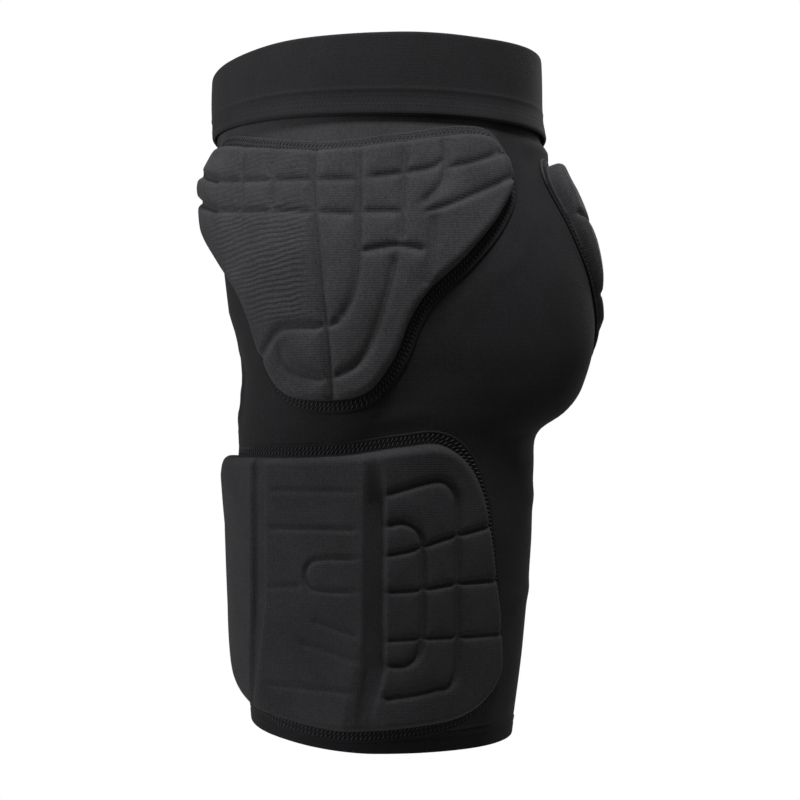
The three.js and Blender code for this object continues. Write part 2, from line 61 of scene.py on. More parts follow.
# The cut of the shorts, the same sizes as the solids have
RISE = 236 * MM
INSEAM = 182 * MM
LENGTH = RISE + INSEAM
RIM_FRONT_DIP = 8 * MM
RIM_SIDE_RISE = 2 * MM
RIM_BACK_RISE = 8 * MM
HEM_FRONT_RISE = 9 * MM
BAND_HEIGHT = 46 * MM
BAND_LAP = 10 * MM
HEM_HEIGHT = 10 * MM
CLOTH_GAP = 0.5 * MM
LIFT_REACH = 11 * MM  # a pad's lift direction is taken over this much of the cloth
LEAST_PARTING = 1e-6

# How far the cloth reaches at the waist, hips, thigh and hem: out to the side, to the middle of
# the leg, forwards and backwards
GIRTHS = {
    "side": np.array([137, 170, 166, 154]) * MM,
    "middle": np.array([0, 64, 88, 84]) * MM,
    "front": np.array([104, 88, 82, 75]) * MM,
    "back": np.array([105, 137, 98, 84]) * MM,
}

# Level sections from the top down. Torso and leg are shares of the rise and the inseam; side,
# middle, front and back count along the girths; parted is how far the legs have come apart,
# and round the superellipse's power.
SECTION_COLUMNS = ("torso", "leg", "side", "middle", "front", "back", "parted", "round")
SECTIONS = [
    (-0.05, 0.0, 0.0, 0.0, 0.0, 0.0, 0.0, 2.25),
    (0.19, 0.0, 0.03, 0.0, 0.0, 0.06, 0.0, 2.25),
    (0.32, 0.0, 0.33, 0.22, 0.15, 0.29, 0.08, 2.28),
    (0.47, 0.0, 0.7, 0.56, 0.35, 0.74, 0.13, 2.31),
    (0.61, 0.0, 0.93, 0.84, 0.65, 0.97, 0.2, 2.33),
    (0.76, 0.0, 1.0, 1.0, 1.0, 0.98, 0.3, 2.33),
    (0.87, 0.0, 1.25, 1.37, 2.0, 1.22, 0.45, 2.28),
    (0.94, 0.0, 1.5, 1.67, 2.25, 1.51, 0.68, 2.2),
    (1.0, 0.0, 1.75, 1.96, 2.15, 1.88, 1.0, 2.12),
    (1.0, 0.09, 2.0, 2.0, 2.0, 2.0, 1.11, 2.1),
    (1.0, 0.36, 2.17, 2.0, 2.1, 2.15, 1.16, 2.1),
    (1.0, 0.69, 2.58, 2.5, 2.4, 2.5, 1.19, 2.1),
    (1.0, 1.0, 3.0, 3.0, 3.0, 3.0, 1.22, 2.1),
]

# How finely things are made
CLOTH_GRID = 3.0 * MM
PAD_GRID = 1.15 * MM
BAND_COLUMNS = 420
HEM_COLUMNS = 300
CURVE_STEPS = 14  # straight pieces between two points of an outline
SECTION_POINTS = 1201  # points round a section whose lengths of cloth are measured
SECTION_STEP = 2 * MM  # from one measured section to the next
BELOW_HEM, ABOVE_WAIST = 6 * MM, 16 * MM  # how far the measured sections go on
MOST_ROUND = 330  # the furthest measured place round the cloth, in millimetres
TURN_STEP = 0.02  # half the turn over which a direction round the torso or leg is taken

# Where each pad lies: how wide and tall it is, how far its middle is in front of the side
# line, and its top below the waist opening.
HIP_PAD = {"width": 224 * MM, "height": 155 * MM, "forward": 27 * MM, "top": 59 * MM}
THIGH_PAD = {"width": 199 * MM, "height": 165 * MM, "forward": 24 * MM, "top": 240 * MM}
TAIL_PAD = {"width": 168 * MM, "height": 121 * MM, "forward": 0.0, "top": 65 * MM}

# Pad outlines as (across, down): shares of half the width, to the rear, and of the height.
HIP_HALF_EDGE = [
    (0.0, 0.07), (0.38, 0.04), (0.73, 0.0), (0.9, 0.02), (1.0, 0.16), (0.9, 0.31),
    (0.71, 0.47), (0.53, 0.59), (0.43, 0.7), (0.35, 0.84), (0.21, 0.97), (0.0, 1.0),
]
THIGH_EDGE = [
    (0.0, 0.04), (0.4, 0.01), (0.62, 0.0), (0.77, 0.06), (0.88, 0.2), (0.95, 0.45),
    (1.0, 0.7), (0.97, 0.84), (0.76, 0.95), (0.4, 0.99), (0.0, 1.0), (-0.45, 0.95),
    (-0.8, 0.88), (-0.97, 0.74), (-1.0, 0.5), (-1.0, 0.2), (-0.95, 0.06), (-0.7, 0.05),
]
TAIL_HALF_EDGE = [
    (0.0, 0.02), (0.45, 0.0), (0.85, 0.08), (1.0, 0.35), (0.95, 0.65), (0.72, 0.9),
    (0.4, 1.0), (0.0, 0.97),
]

# Moulded grooves: depth and half width in millimetres, how much wider the end is than the
# start, and the path as (across, down).
HIP_GROOVES = {
    "middle": (2.1, 2.1, 1.0, [(-0.05, -0.02), (-0.05, 0.2), (-0.03, 0.4), (0.01, 0.68),
                               (0.03, 0.82), (0.05, 1.04)]),
    "first column": (1.2, 2.0, 0.6, [(-0.49, 0.0), (-0.48, 0.18), (-0.48, 0.33)]),
    "second column": (1.6, 2.0, 0.6, [(-0.27, 0.05), (-0.27, 0.3)]),
    "fourth column": (1.7, 2.1, 1.0, [(0.17, 0.04), (0.17, 0.43), (0.15, 0.6), (0.09, 0.71)]),
    "fifth column": (1.3, 2.0, 0.8, [(0.4, 0.03), (0.38, 0.43)]),
    "sixth column": (1.5, 2.4, 1.0, [(0.6, 0.02), (0.6, 0.12), (0.58, 0.21), (0.48, 0.29)]),
    "front upper finger": (2.9, 2.2, 1.0, [(-1.04, 0.09), (-0.89, 0.11), (-0.66, 0.16)]),
    "front lower finger": (2.9, 2.2, 1.0, [(-1.06, 0.2), (-0.96, 0.21), (-0.65, 0.28)]),
    "upper row": (1.0, 2.0, 1.0, [(-0.66, 0.16), (-0.2, 0.19), (0.17, 0.2)]),
    "lower row": (1.0, 2.0, 1.0, [(-0.65, 0.28), (-0.2, 0.31), (0.17, 0.33)]),
    "rear upper row": (1.3, 2.1, 1.0, [(0.22, 0.19), (0.4, 0.17), (0.53, 0.15), (0.6, 0.11)]),
    "rear lower row": (1.1, 2.0, 1.0, [(0.2, 0.32), (0.39, 0.32)]),
    "third row": (1.5, 2.2, 1.0, [(0.18, 0.465), (0.36, 0.445), (0.5, 0.46)]),
    "upper finger": (1.1, 1.7, 1.9, [(0.6, 0.15), (0.74, 0.125), (0.87, 0.09), (1.06, 0.04)]),
    "lower finger": (1.3, 1.7, 2.1, [(0.5, 0.32), (0.63, 0.29), (0.93, 0.19), (1.08, 0.13)]),
    "wing root": (1.2, 2.8, 1.0, [(0.54, 0.32), (0.53, 0.47), (0.5, 0.59)]),
    "foot curve": (1.9, 2.2, 1.0, [(0.36, 0.47), (0.3, 0.64), (0.23, 0.79), (0.16, 0.87),
                                   (0.05, 0.91)]),
    "foot arch": (1.6, 2.2, 1.0, [(-0.36, 0.86), (-0.27, 0.775), (-0.19, 0.73), (0.0, 0.73),
                                  (0.09, 0.71)]),
    "toe arch": (0.8, 2.4, 1.0, [(-0.22, 0.8), (-0.19, 0.86), (-0.1, 0.9), (0.03, 0.92)]),
}
GROOVE_END = 0.06  # share of a groove over which it comes in, and goes out again
GROOVE_END_DEPTH = 0.25  # share of its depth that it has at the very end
GROOVE_DEEPENS = 0.35  # how much of a groove's widening goes into its depth too
# The lower lip of each rear finger's groove stands up, in millimetres
FINGER_LIPS = {"upper finger": 2.8, "lower finger": 3.2}
LIP_START, LIP_TOP = 0.4 * MM, 2.4 * MM  # distances below the groove
LIP_FADE = 8 * MM
# The front of the hip pad stands out more than the rest: how far, between which shares forward
# it comes in, and between which depths in millimetres it comes in and most of it goes
HIP_FRONT_SWELL = 6.5 * MM
HIP_FRONT_ACROSS = (0.45, 0.85)
HIP_FRONT_STARTS, HIP_FRONT_ENDS = (60, 80), (110, 142)
HIP_FRONT_GONE = 0.7
HIP_DOME_ACROSS, HIP_DOME_DOWN = 0.1, 0.08  # shares of the foam that are missing at the rim
# Where the front of the hip pad's cover is rippled, in millimetres round and down: it comes in
# between the first two and goes between the last two, and is strongest below the second step
RIPPLES_ROUND = (-112, -96, -44, -30)
RIPPLES_STEPS = ((0.35, 66, 76), (0.65, 96, 108))
RIPPLES_END = (164, 176)
THIGH_GROOVES = {
    "outer arch": (2.1, 1.9, 1.0, [(0.31, 0.17), (0.4, 0.15), (0.6, 0.12), (0.68, 0.16),
                                   (0.7, 0.24), (0.7, 0.5), (0.69, 0.8), (0.56, 0.85),
                                   (0.35, 0.873), (0.3, 0.872)]),
    "inner arch": (2.4, 1.9, 1.0, [(0.31, 0.275), (0.41, 0.265), (0.49, 0.3), (0.51, 0.4),
                                   (0.5, 0.68), (0.43, 0.755), (0.31, 0.76)]),
    "upper spoke": (2.1, 1.3, 1.2, [(0.31, 0.378), (0.46, 0.358), (0.64, 0.321),
                                    (0.89, 0.285), (0.98, 0.28)]),
    "middle spoke": (2.1, 1.3, 1.2, [(0.31, 0.503), (0.49, 0.497), (0.69, 0.479),
                                     (0.93, 0.473), (1.02, 0.47)]),
    "lower spoke": (1.7, 1.3, 1.2, [(0.31, 0.673), (0.51, 0.667), (0.96, 0.665), (1.05, 0.665)]),
    "first slat": (0.5, 1.6, 1.0, [(-0.35, 0.158), (0.16, 0.158)]),
    "second slat": (0.8, 1.6, 1.0, [(-0.35, 0.291), (0.16, 0.291)]),
    "tongue": (1.4, 1.4, 1.0, [(0.17, 0.39), (0.0, 0.392), (-0.1, 0.405), (-0.135, 0.45),
                               (-0.1, 0.495), (0.0, 0.505), (0.15, 0.505)]),
    "third slat": (0.6, 1.6, 1.0, [(-0.36, 0.5), (-0.16, 0.49)]),
    "fourth slat": (0.7, 1.8, 1.0, [(-0.1, 0.61), (0.02, 0.635), (0.16, 0.661)]),
    "fifth slat": (0.6, 1.8, 1.0, [(-0.18, 0.69), (0.0, 0.72), (0.17, 0.752)]),
    "lowest slat": (0.8, 1.7, 1.0, [(-0.38, 0.845), (-0.1, 0.853), (0.14, 0.86)]),
}
TAIL_GROOVES = {
    "middle": (3.0, 1.9, 1.0, [(0.0, -0.06), (0.0, 1.06)]),
    "upper row": (2.8, 1.9, 1.0, [(-1.06, 0.3), (-0.5, 0.36), (0.0, 0.38), (0.5, 0.36),
                                  (1.06, 0.3)]),
    "lower row": (0.8, 1.9, 1.0, [(-1.06, 0.7), (-0.5, 0.68), (0.0, 0.67), (0.5, 0.68),
                                  (1.06, 0.7)]),
    "left column": (2.4, 1.8, 1.0, [(-0.5, -0.06), (-0.48, 0.5), (-0.42, 1.06)]),
    "right column": (2.4, 1.8, 1.0, [(0.5, -0.06), (0.48, 0.5), (0.42, 1.06)]),
}

# The flat-bottomed channels of the thigh pad as (down, middle, half width, depth): the first
# two are shares down and across, the last two millimetres.
THIGH_CHANNELS = {
    "side channel": [(0.06, 0.25, 4.4, 0.0), (0.2, 0.255, 5.2, 4.0), (0.78, 0.25, 5.4, 4.0),
                     (0.95, 0.2, 4.6, 0.6)],
    "front strip": [(-0.1, -0.425, 5.0, 3.2), (0.55, -0.425, 5.0, 3.2), (0.95, -0.5, 1.6, 1.6)],
}
CHANNEL_SIDE = (-2.2, 1.2)  # where a channel's side starts and ends about its half width
# The thigh pad's outer face is flatter between its creases, as (down, start, end, sunk): shares
# down and across, and how far the middle of the stretch is sunk, in millimetres.
THIGH_FLATS = {
    "front": [(0.0, -1.02, -0.47, 3.2), (1.0, -1.02, -0.5, 3.2)],
    "middle": [(0.6, -0.37, 0.2, 3.8), (1.0, -0.44, 0.07, 4.2)],
}
THIGH_CELLS = (0.25, 0.32)  # shares across between which the rear cells start to swell
THIGH_CELL_SWELL = 0.7  # share of a hip cell's swell
THIGH_FRONT = (0.5, 0.9)  # shares forward between which the front's own thickness comes in
# How much thicker the front of the thigh pad is, and the tailbone pad, by share down
THIGH_SWELL = [(0.0, 1.5), (0.12, 3.0), (0.3, 0.8), (0.6, 0.8), (0.85, 2.0), (1.0, 1.0)]
TAIL_SWELL = [(0.0, 2.5), (0.18, 3.5), (0.43, 1.6), (0.59, -0.5), (0.72, -2.9), (0.81, -3.1),
              (0.87, -5.4), (1.0, -5.6)]

PILLOW_HEIGHT = 1.5 * MM  # how far a moulded cell swells between its grooves
PILLOW_REACH = 6.0 * MM
SHOULDER = 4.6 * MM  # the rounding of a pad's rim
RIM_STEP = 0.5  # share of the rim's height that stands upright
RIM_ROUND_RINGS = 7  # rings of points in the rim's rounding
RIM_UPRIGHT = (0.75, 0.5, 0.25, 0.08)  # shares of the upright part where it has a ring
RIM_FOOT = 0.1 * MM  # how far the upright part stands outside the outline
EDGE_RINGS = (0.5, 1.1, 2.0, 3.0, 4.0, 5.0, 6.0, 7.0, 7.6)  # millimetres out on the sewn edge
EDGE_BEVEL = 0.6  # share of the sewn edge's height at its rounded outer corner
EDGE_BELOW = 1.3  # what is lower than this many edge heights takes the darker edge colour, painted shadow under the pad's rim
EDGE_SHADOW_DEPTHS = (72 * MM, 84 * MM)  # depths between which that painted shadow comes in
STITCH_DENT, STITCH_DENT_WIDTH = 0.35 * MM, 1.2 * MM
EDGE_PAD_LIFT = 0.45 * MM  # a pad's underside off the shell

# Two rows of slanted cover stitches on each sewn edge: distance out from the pad's rim
STITCH_ROWS = (2.3 * MM, 5.1 * MM)
STITCH_SLANT = 1.3 * MM
STITCH_FORWARD = 0.55  # how far a stitch runs on, as a share of the stitch length
STITCH_SUNK = 0.1 * MM


def linear(code):
    """An sRGB hex code as linear red, green and blue."""
    srgb = [int(code[i : i + 2], 16) / 255 for i in (0, 2, 4)]
    return tuple(c / 12.92 if c <= 0.04045 else ((c + 0.055) / 1.055) ** 2.4 for c in srgb)


class ShortsSizes(PropertyGroup):
    """Sizes of cloth, pads and stitches"""

    shell_wall: FloatProperty(
        name="Shell", description="Thickness of the knitted shell", default=1.5 * MM,
        unit="LENGTH", precision=4)
    band_thickness: FloatProperty(
        name="Waistband", description="Thickness of the doubled elastic band",
        default=2.6 * MM, unit="LENGTH", precision=4)
    hem_thickness: FloatProperty(
        name="Hem", description="Thickness of the turned-up hem", default=1.9 * MM,
        unit="LENGTH", precision=4)
    hip_pad: FloatProperty(
        name="Hip pad", description="Thickness of the hip pad's foam", default=9.5 * MM,
        unit="LENGTH", precision=4)
    thigh_pad: FloatProperty(
        name="Thigh pad", description="Thickness of the thigh pad's foam",
        default=10.5 * MM, unit="LENGTH", precision=4)
    tail_pad: FloatProperty(
        name="Tailbone pad", description="Thickness of the tailbone pad's foam",
        default=7.5 * MM, unit="LENGTH", precision=4)
    edge_width: FloatProperty(
        name="Sewn edge", description="Width of the thin edge that is sewn down",
        default=8 * MM, unit="LENGTH", precision=4)
    edge_thickness: FloatProperty(
        name="Sewn edge thickness", description="Thickness of the sewn edge",
        default=1.2 * MM, unit="LENGTH", precision=4)
    stitch_length: FloatProperty(
        name="Stitch", description="Distance from one cover stitch to the next",
        default=2.5 * MM, unit="LENGTH", precision=4)
    thread: FloatProperty(
        name="Thread", description="Thickness of the sewing thread", default=0.7 * MM,
        unit="LENGTH", precision=4)


class ShortsColours(PropertyGroup):
    """Colours of the cloths and the thread"""

    elastic: FloatVectorProperty(
        name="Waistband", description="Woven elastic and its stitches", subtype="COLOR",
        size=3, default=linear("0E0E0F"))
    knit: FloatVectorProperty(
        name="Shell", description="Knit of the shell", subtype="COLOR", size=3,
        default=linear("0A0A0B"))
    # The edge colour is painted shade: the pads' lower sewn edges and the hems are darker where
    # they lie in shade
    edge: FloatVectorProperty(
        name="Sewn edges", description="Thin sewn edges of the pads, and the hems",
        subtype="COLOR", size=3, default=linear("070708"))
    # This colour also paints light onto the shell's strip between hip pad and waistband
    hip_cover: FloatVectorProperty(
        name="Hip and tailbone pads",
        description="Cover of the upper pads, and the cloth between hip pad and waistband",
        subtype="COLOR", size=3, default=linear("151516"))
    thigh_cover: FloatVectorProperty(
        name="Thigh pads", description="Cover of the thigh pads", subtype="COLOR", size=3,
        default=linear("0F0F10"))
    thread: FloatVectorProperty(
        name="Thread", description="Sewing thread of the pads", subtype="COLOR", size=3,
        default=linear("151516"))


# The form that the cloth takes on the wearer


def stations():
    table = dict(zip(SECTION_COLUMNS, np.array(SECTIONS).T))
    found = {
        "depth": table["torso"] * RISE + table["leg"] * INSEAM,
        "parted": table["parted"],
        "round": table["round"],
    }
    for name, sizes in GIRTHS.items():
        found[name] = np.interp(table[name], np.arange(len(sizes)), sizes)
    return found


STATIONS = stations()


def slopes(values):
    """Slopes at the stations, from each one's neighbours."""
    wide = np.pad(values, 1, mode="edge")
    deep = np.pad(STATIONS["depth"], 1, mode="edge")
    return (wide[2:] - wide[:-2]) / (deep[2:] - deep[:-2])


SLOPES = {name: slopes(values) for name, values in STATIONS.items()}


def section_at(z):
    """The shell's section at heights z: a smooth curve through the stations."""
    depth = -np.asarray(z, float)
    known = STATIONS["depth"]
    i = np.clip(np.searchsorted(known, depth) - 1, 0, len(known) - 2)
    span = known[i + 1] - known[i]
    t = np.clip((depth - known[i]) / span, 0, 1)
    section = {}
    for name in ("side", "middle", "front", "back", "parted", "round"):
        values, slope = STATIONS[name], SLOPES[name]
        section[name] = (
            (2 * t**3 - 3 * t**2 + 1) * values[i]
            + (t**3 - 2 * t**2 + t) * span * slope[i]
            + (3 * t**2 - 2 * t**3) * values[i + 1]
            + (t**3 - t**2) * span * slope[i + 1]
        )
    return section


def last_angle(section):
    """Where a section meets the middle plane: a quarter turn on the torso, half on a leg."""
    parted = np.clip(section["parted"], 0, 1)
    return np.pi - np.arccos(parted ** (section["round"] / 2))


def skin(section, angle):
    """x and y of points of a section. Angle 0 is the side line, and it grows to the back."""
    cosine, sine = np.cos(angle), np.sin(angle)
    across = np.abs(cosine) ** (2 / section["round"])
    along = np.abs(sine) ** (2 / section["round"])
    middle = section["middle"]
    inner = middle / np.maximum(section["parted"], LEAST_PARTING)
    outer = middle + (section["side"] - middle) * across
    x = np.where(cosine > 0, outer, middle - inner * across)
    y = np.where(sine > 0, section["back"] * along, -section["front"] * along)
    return x, y


def length_along(points):
    """How far along a line of points each one lies."""
    steps = np.linalg.norm(np.diff(points, axis=0), axis=1)
    return np.concatenate([[0], np.cumsum(steps)])


def measure_arcs():
    """A table of the angle reached after each length of cloth, for many heights, and the
    lengths from the side line to the middle plane in front and behind."""
    heights = np.arange(-LENGTH - BELOW_HEM, ABOVE_WAIST, SECTION_STEP)
    reach = np.arange(-MOST_ROUND, MOST_ROUND + 1) * MM
    angles, fronts, backs = [], [], []
    for z in heights:
        section = section_at(z)
        turn = np.linspace(-1, 1, SECTION_POINTS) * last_angle(section)
        x, y = skin(section, turn)
        length = np.concatenate([[0], np.cumsum(np.hypot(np.diff(x), np.diff(y)))])
        length -= length[len(turn) // 2]
        angles.append(np.interp(reach, length, turn))
        fronts.append(-length[0])
        backs.append(length[-1])
    return heights, reach, np.array(angles), np.array(fronts), np.array(backs)


HEIGHTS, REACH, ARC_ANGLES, FRONT_LENGTHS, BACK_LENGTHS = measure_arcs()


def arc_angle(u, z):
    """The angle at which u of cloth is reached at height z."""
    row = np.clip((z - HEIGHTS[0]) / (HEIGHTS[1] - HEIGHTS[0]), 0, len(HEIGHTS) - 1.001)
    column = np.clip((u - REACH[0]) / (REACH[1] - REACH[0]), 0, len(REACH) - 1.001)
    i, j = row.astype(int), column.astype(int)
    s, t = row - i, column - j
    near = ARC_ANGLES[i, j] * (1 - t) + ARC_ANGLES[i, j + 1] * t
    far = ARC_ANGLES[i + 1, j] * (1 - t) + ARC_ANGLES[i + 1, j + 1] * t
    return near * (1 - s) + far * s


def side_place(u, z):
    """Places on the left side of the shell."""
    x, y = skin(section_at(z), arc_angle(u, z))
    return np.stack([x, y, z], -1)


def seat_place(u, z):
    """Places on the seat, where u runs from the middle of the back to the wearer's right."""
    place = side_place(np.interp(z, HEIGHTS, BACK_LENGTHS) - np.abs(u), z)
    place[..., 0] *= -np.sign(u)
    return place


def lifted(place, flat, lift):
    """Points that stand off the shell by a lift, square to it."""
    u, z = flat[:, 0], flat[:, 1]
    back = place(u + LIFT_REACH, z) - place(u - LIFT_REACH, z)
    up = place(u, z + LIFT_REACH) - place(u, z - LIFT_REACH)
    out = np.cross(back, up)
    out /= np.linalg.norm(out, axis=1, keepdims=True)
    return place(u, z) + out * np.broadcast_to(lift, len(u))[:, None]


def ripple(points, size, seed):
    """Soft unevenness from -1 to 1 whose lumps are about as big as size."""
    return np.array([noise.noise(Vector(p) / size + Vector((seed, 0, 0))) for p in points])


# Meshes


def grid_faces(rows, columns, first=0, flip=False):
    """Faces of a grid of points that is stored row after row."""
    corner = (first + np.arange(rows - 1)[:, None] * columns + np.arange(columns - 1)).ravel()
    order = (0, columns, columns + 1, 1) if flip else (0, 1, columns + 1, columns)
    return np.stack([corner + step for step in order], -1)


def mesh_piece(name, points, faces, cloth, weld=1e-6, masks=None):
    """A mesh object at the origin. Cloth holds each point's place on the cloth in metres, for
    the patterns, and masks more values for each point; points that meet within weld are joined
    after that."""
    mesh = bpy.data.meshes.new(name)
    mesh.from_pydata(np.asarray(points).tolist(), [], np.asarray(faces).tolist())
    corner = np.zeros(len(mesh.loops), int)
    mesh.loops.foreach_get("vertex_index", corner)
    layer = mesh.uv_layers.new(name="cloth")
    layer.data.foreach_set("uv", np.asarray(cloth, float)[corner].ravel())
    for key, values in (masks or {}).items():
        mesh.attributes.new(key, "FLOAT", "POINT").data.foreach_set("value", values)
    work = bmesh.new()
    work.from_mesh(mesh)
    bmesh.ops.remove_doubles(work, verts=work.verts, dist=weld)
    work.to_mesh(mesh)
    work.free()
    piece = bpy.data.objects.new(name, mesh)
    bpy.context.scene.collection.objects.link(piece)
    return piece


def only(piece):
    """Makes a piece the one that is selected and active."""
    bpy.ops.object.select_all(action="DESELECT")
    piece.select_set(True)
    bpy.context.view_layer.objects.active = piece


def smooth(piece):
    only(piece)
    bpy.ops.object.shade_smooth()


def apply_modifier(piece, kind, **settings):
    """Adds a modifier with its settings and applies it."""
    only(piece)
    modifier = piece.modifiers.new(kind.lower(), kind)
    for key, value in settings.items():
        setattr(modifier, key, value)
    bpy.ops.object.modifier_apply(modifier=modifier.name)


def mirrored(piece, name):
    """The wearer's right piece, a mirror image with a mesh of its own."""
    mesh = piece.data.copy()
    mesh.name = name
    other = bpy.data.objects.new(name, mesh)
    bpy.context.scene.collection.objects.link(other)
    points = np.zeros(len(mesh.vertices) * 3)
    mesh.vertices.foreach_get("co", points)
    points = points.reshape(-1, 3) * (-1, 1, 1)
    mesh.vertices.foreach_set("co", points.ravel())
    mesh.flip_normals()
    mesh.update()
    return other


def finish_piece(piece, node, material):
    """Gives a piece its material and slot, and lets it stand for its solid."""
    piece.data.materials.clear()
    piece.data.materials.append(material)
    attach(piece, "root")
    if node:
        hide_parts(node)


def face_area(piece):
    return sum(polygon.area for polygon in piece.data.polygons)


# Curves on flat cloth


def spline(points, closed):
    """A smooth curve through points."""
    points = np.asarray(points, float)
    if closed:
        before, after = np.roll(points, 1, 0), np.roll(points, -1, 0)
        later, spans = np.roll(points, -2, 0), len(points)
    else:
        ends = np.vstack([2 * points[0] - points[1], points, 2 * points[-1] - points[-2]])
        before, after, later = ends[:-3], points[1:], ends[3:]
        spans = len(points) - 1
    t = np.linspace(0, 1, CURVE_STEPS, endpoint=False)[:, None]
    pieces = []
    for k in range(spans):
        a, b, c, d = before[k], points[k], after[k], later[k]
        pieces.append(
            b + 0.5 * t * (c - a)
            + t**2 * (a - 2.5 * b + 2 * c - 0.5 * d)
            + 0.5 * t**3 * (3 * (b - c) + d - a)
        )
    curve = np.vstack(pieces)
    return curve if closed else np.vstack([curve, points[-1]])


def nearest(curve, points, closed):
    """For each point its distance to the curve, the nearest place on it, and how far along
    the curve that is, from 0 to 1."""
    ends = np.roll(curve, -1, 0) if closed else curve[1:]
    starts = curve if closed else curve[:-1]
    best = np.full(len(points), np.inf)
    place = np.zeros((len(points), 2))
    share = np.zeros(len(points))
    for k, (start, end) in enumerate(zip(starts, ends)):
        run = end - start
        t = np.clip(((points - start) @ run) / (run @ run), 0, 1)
        on = start + t[:, None] * run
        gap = ((points - on) ** 2).sum(1)
        closer = gap < best
        best[closer] = gap[closer]
        place[closer] = on[closer]
        share[closer] = (k + t[closer]) / len(starts)
    return np.sqrt(best), place, share


def is_inside(curve, points):
    """Whether each point lies inside a closed curve."""
    inside = np.zeros(len(points), bool)
    x, y = points[:, 0], points[:, 1]
    for (ax, ay), (bx, by) in zip(curve, np.roll(curve, -1, 0)):
        if ay == by:
            continue
        crosses = (ay > y) != (by > y)
        inside ^= crosses & (x < (bx - ax) * (y - ay) / (by - ay) + ax)
    return inside


def on_pad(pad, path):
    """Places on the cloth, u and z, of a path given in shares of a pad's size."""
    path = np.asarray(path, float)
    u = path[:, 0] * pad["width"] / 2 - pad["forward"]
    z = -path[:, 1] * pad["height"] - pad["top"]
    return np.stack([u, z], -1)


def both_halves(half):
    return half + [(-across, down) for across, down in half[-2:0:-1]]


# Moulded pads


def groove_relief(pad, grooves, flat):
    """How deep the grooves cut, and how far each point is from the nearest one."""
    cut = np.zeros(len(flat))
    nearest_groove = np.full(len(flat), np.inf)
    for depth, half_width, widens, path in grooves.values():
        gap, _, share = nearest(spline(on_pad(pad, path), False), flat, False)
        width = half_width * MM * (1 + (widens - 1) * share)
        depth = depth * MM * (1 + GROOVE_DEEPENS * (widens - 1) * share)
        ends = step_between(share, 0, GROOVE_END) * step_between(1 - share, 0, GROOVE_END)
        depth *= GROOVE_END_DEPTH + (1 - GROOVE_END_DEPTH) * ends
        cut = np.maximum(cut, depth * np.exp(-((gap / width) ** 2)))
        nearest_groove = np.minimum(nearest_groove, gap)
    return cut, nearest_groove


def step_between(value, low, high):
    """Rises smoothly from 0 to 1 between low and high."""
    t = np.clip((value - low) / (high - low), 0, 1)
    return t * t * (3 - 2 * t)


def between(value, starts, full, fades, gone):
    """Rises from 0 to 1, stays, and falls again."""
    return step_between(value, starts, full) * (1 - step_between(value, fades, gone))


def pillow_swell(gap):
    """Swell of a moulded cell at a distance from the nearest groove."""
    return PILLOW_HEIGHT * (1 - np.exp(-gap / PILLOW_REACH))


def hip_relief(flat, thickness):
    """Height of the hip pad's face: foam, its prouder front, cells, lips and grooves."""
    cut, gap = groove_relief(HIP_PAD, HIP_GROOVES, flat)
    down = (-flat[:, 1] - HIP_PAD["top"]) / HIP_PAD["height"]
    across = (flat[:, 0] + HIP_PAD["forward"]) / (HIP_PAD["width"] / 2)
    dome = 1 - HIP_DOME_ACROSS * across**2 - HIP_DOME_DOWN * (2 * down - 1) ** 2
    below = -flat[:, 1] / MM
    front = HIP_FRONT_SWELL * step_between(-across, *HIP_FRONT_ACROSS)
    front *= step_between(below, *HIP_FRONT_STARTS)
    front *= 1 - HIP_FRONT_GONE * step_between(below, *HIP_FRONT_ENDS)
    return thickness * dome + front + pillow_swell(gap) + finger_lips(flat) - cut


def finger_lips(flat):
    """How far the lower lips of the rear fingers' grooves stand up."""
    rise = np.zeros(len(flat))
    for name, height in FINGER_LIPS.items():
        path = on_pad(HIP_PAD, HIP_GROOVES[name][3])
        gap, place, share = nearest(spline(path, False), flat, False)
        below = step_between(place[:, 1] - flat[:, 1], LIP_START, LIP_TOP)
        fade = step_between(share, 0, 0.3) * np.exp(-gap / LIP_FADE)
        rise = np.maximum(rise, height * MM * below * fade)
    return rise


def hip_ripples(flat):
    """Where the cover's front part is rippled."""
    u, down = flat[:, 0] / MM, -flat[:, 1] / MM
    upper = sum(share * step_between(down, low, high) for share, low, high in RIPPLES_STEPS)
    return between(u, *RIPPLES_ROUND) * upper * (1 - step_between(down, *RIPPLES_END))


def along_down(rows, down):
    """The other columns of a table at shares down."""
    columns = np.array(rows).T
    return [np.interp(down, columns[0], column) for column in columns[1:]]


def tail_relief(flat, thickness):
    cut, gap = groove_relief(TAIL_PAD, TAIL_GROOVES, flat)
    down = (-flat[:, 1] - TAIL_PAD["top"]) / TAIL_PAD["height"]
    (swell,) = along_down(TAIL_SWELL, down)
    return thickness + swell * MM + pillow_swell(gap) - cut


def thigh_relief(flat, thickness):
    cut, gap = groove_relief(THIGH_PAD, THIGH_GROOVES, flat)
    half = THIGH_PAD["width"] / 2
    across = (flat[:, 0] + THIGH_PAD["forward"]) / half
    down = (-flat[:, 1] - THIGH_PAD["top"]) / THIGH_PAD["height"]
    height = np.full(len(flat), thickness)
    for rows in THIGH_FLATS.values():
        start, end, sunk = along_down(rows, down)
        share = np.clip((2 * across - start - end) / (end - start), -1, 1)
        height -= sunk * MM * (1 - share**2)
    for rows in THIGH_CHANNELS.values():
        middle, half_width, depth = along_down(rows, down)
        side = np.abs(across - middle) * half / MM
        starts, ends = (half_width + step for step in CHANNEL_SIDE)
        height -= depth * MM * (1 - step_between(side, starts, ends))
    pillow = THIGH_CELL_SWELL * pillow_swell(gap) * step_between(across, *THIGH_CELLS)
    (swell,) = along_down(THIGH_SWELL, down)
    return height + swell * MM * step_between(-across, *THIGH_FRONT) + pillow - cut


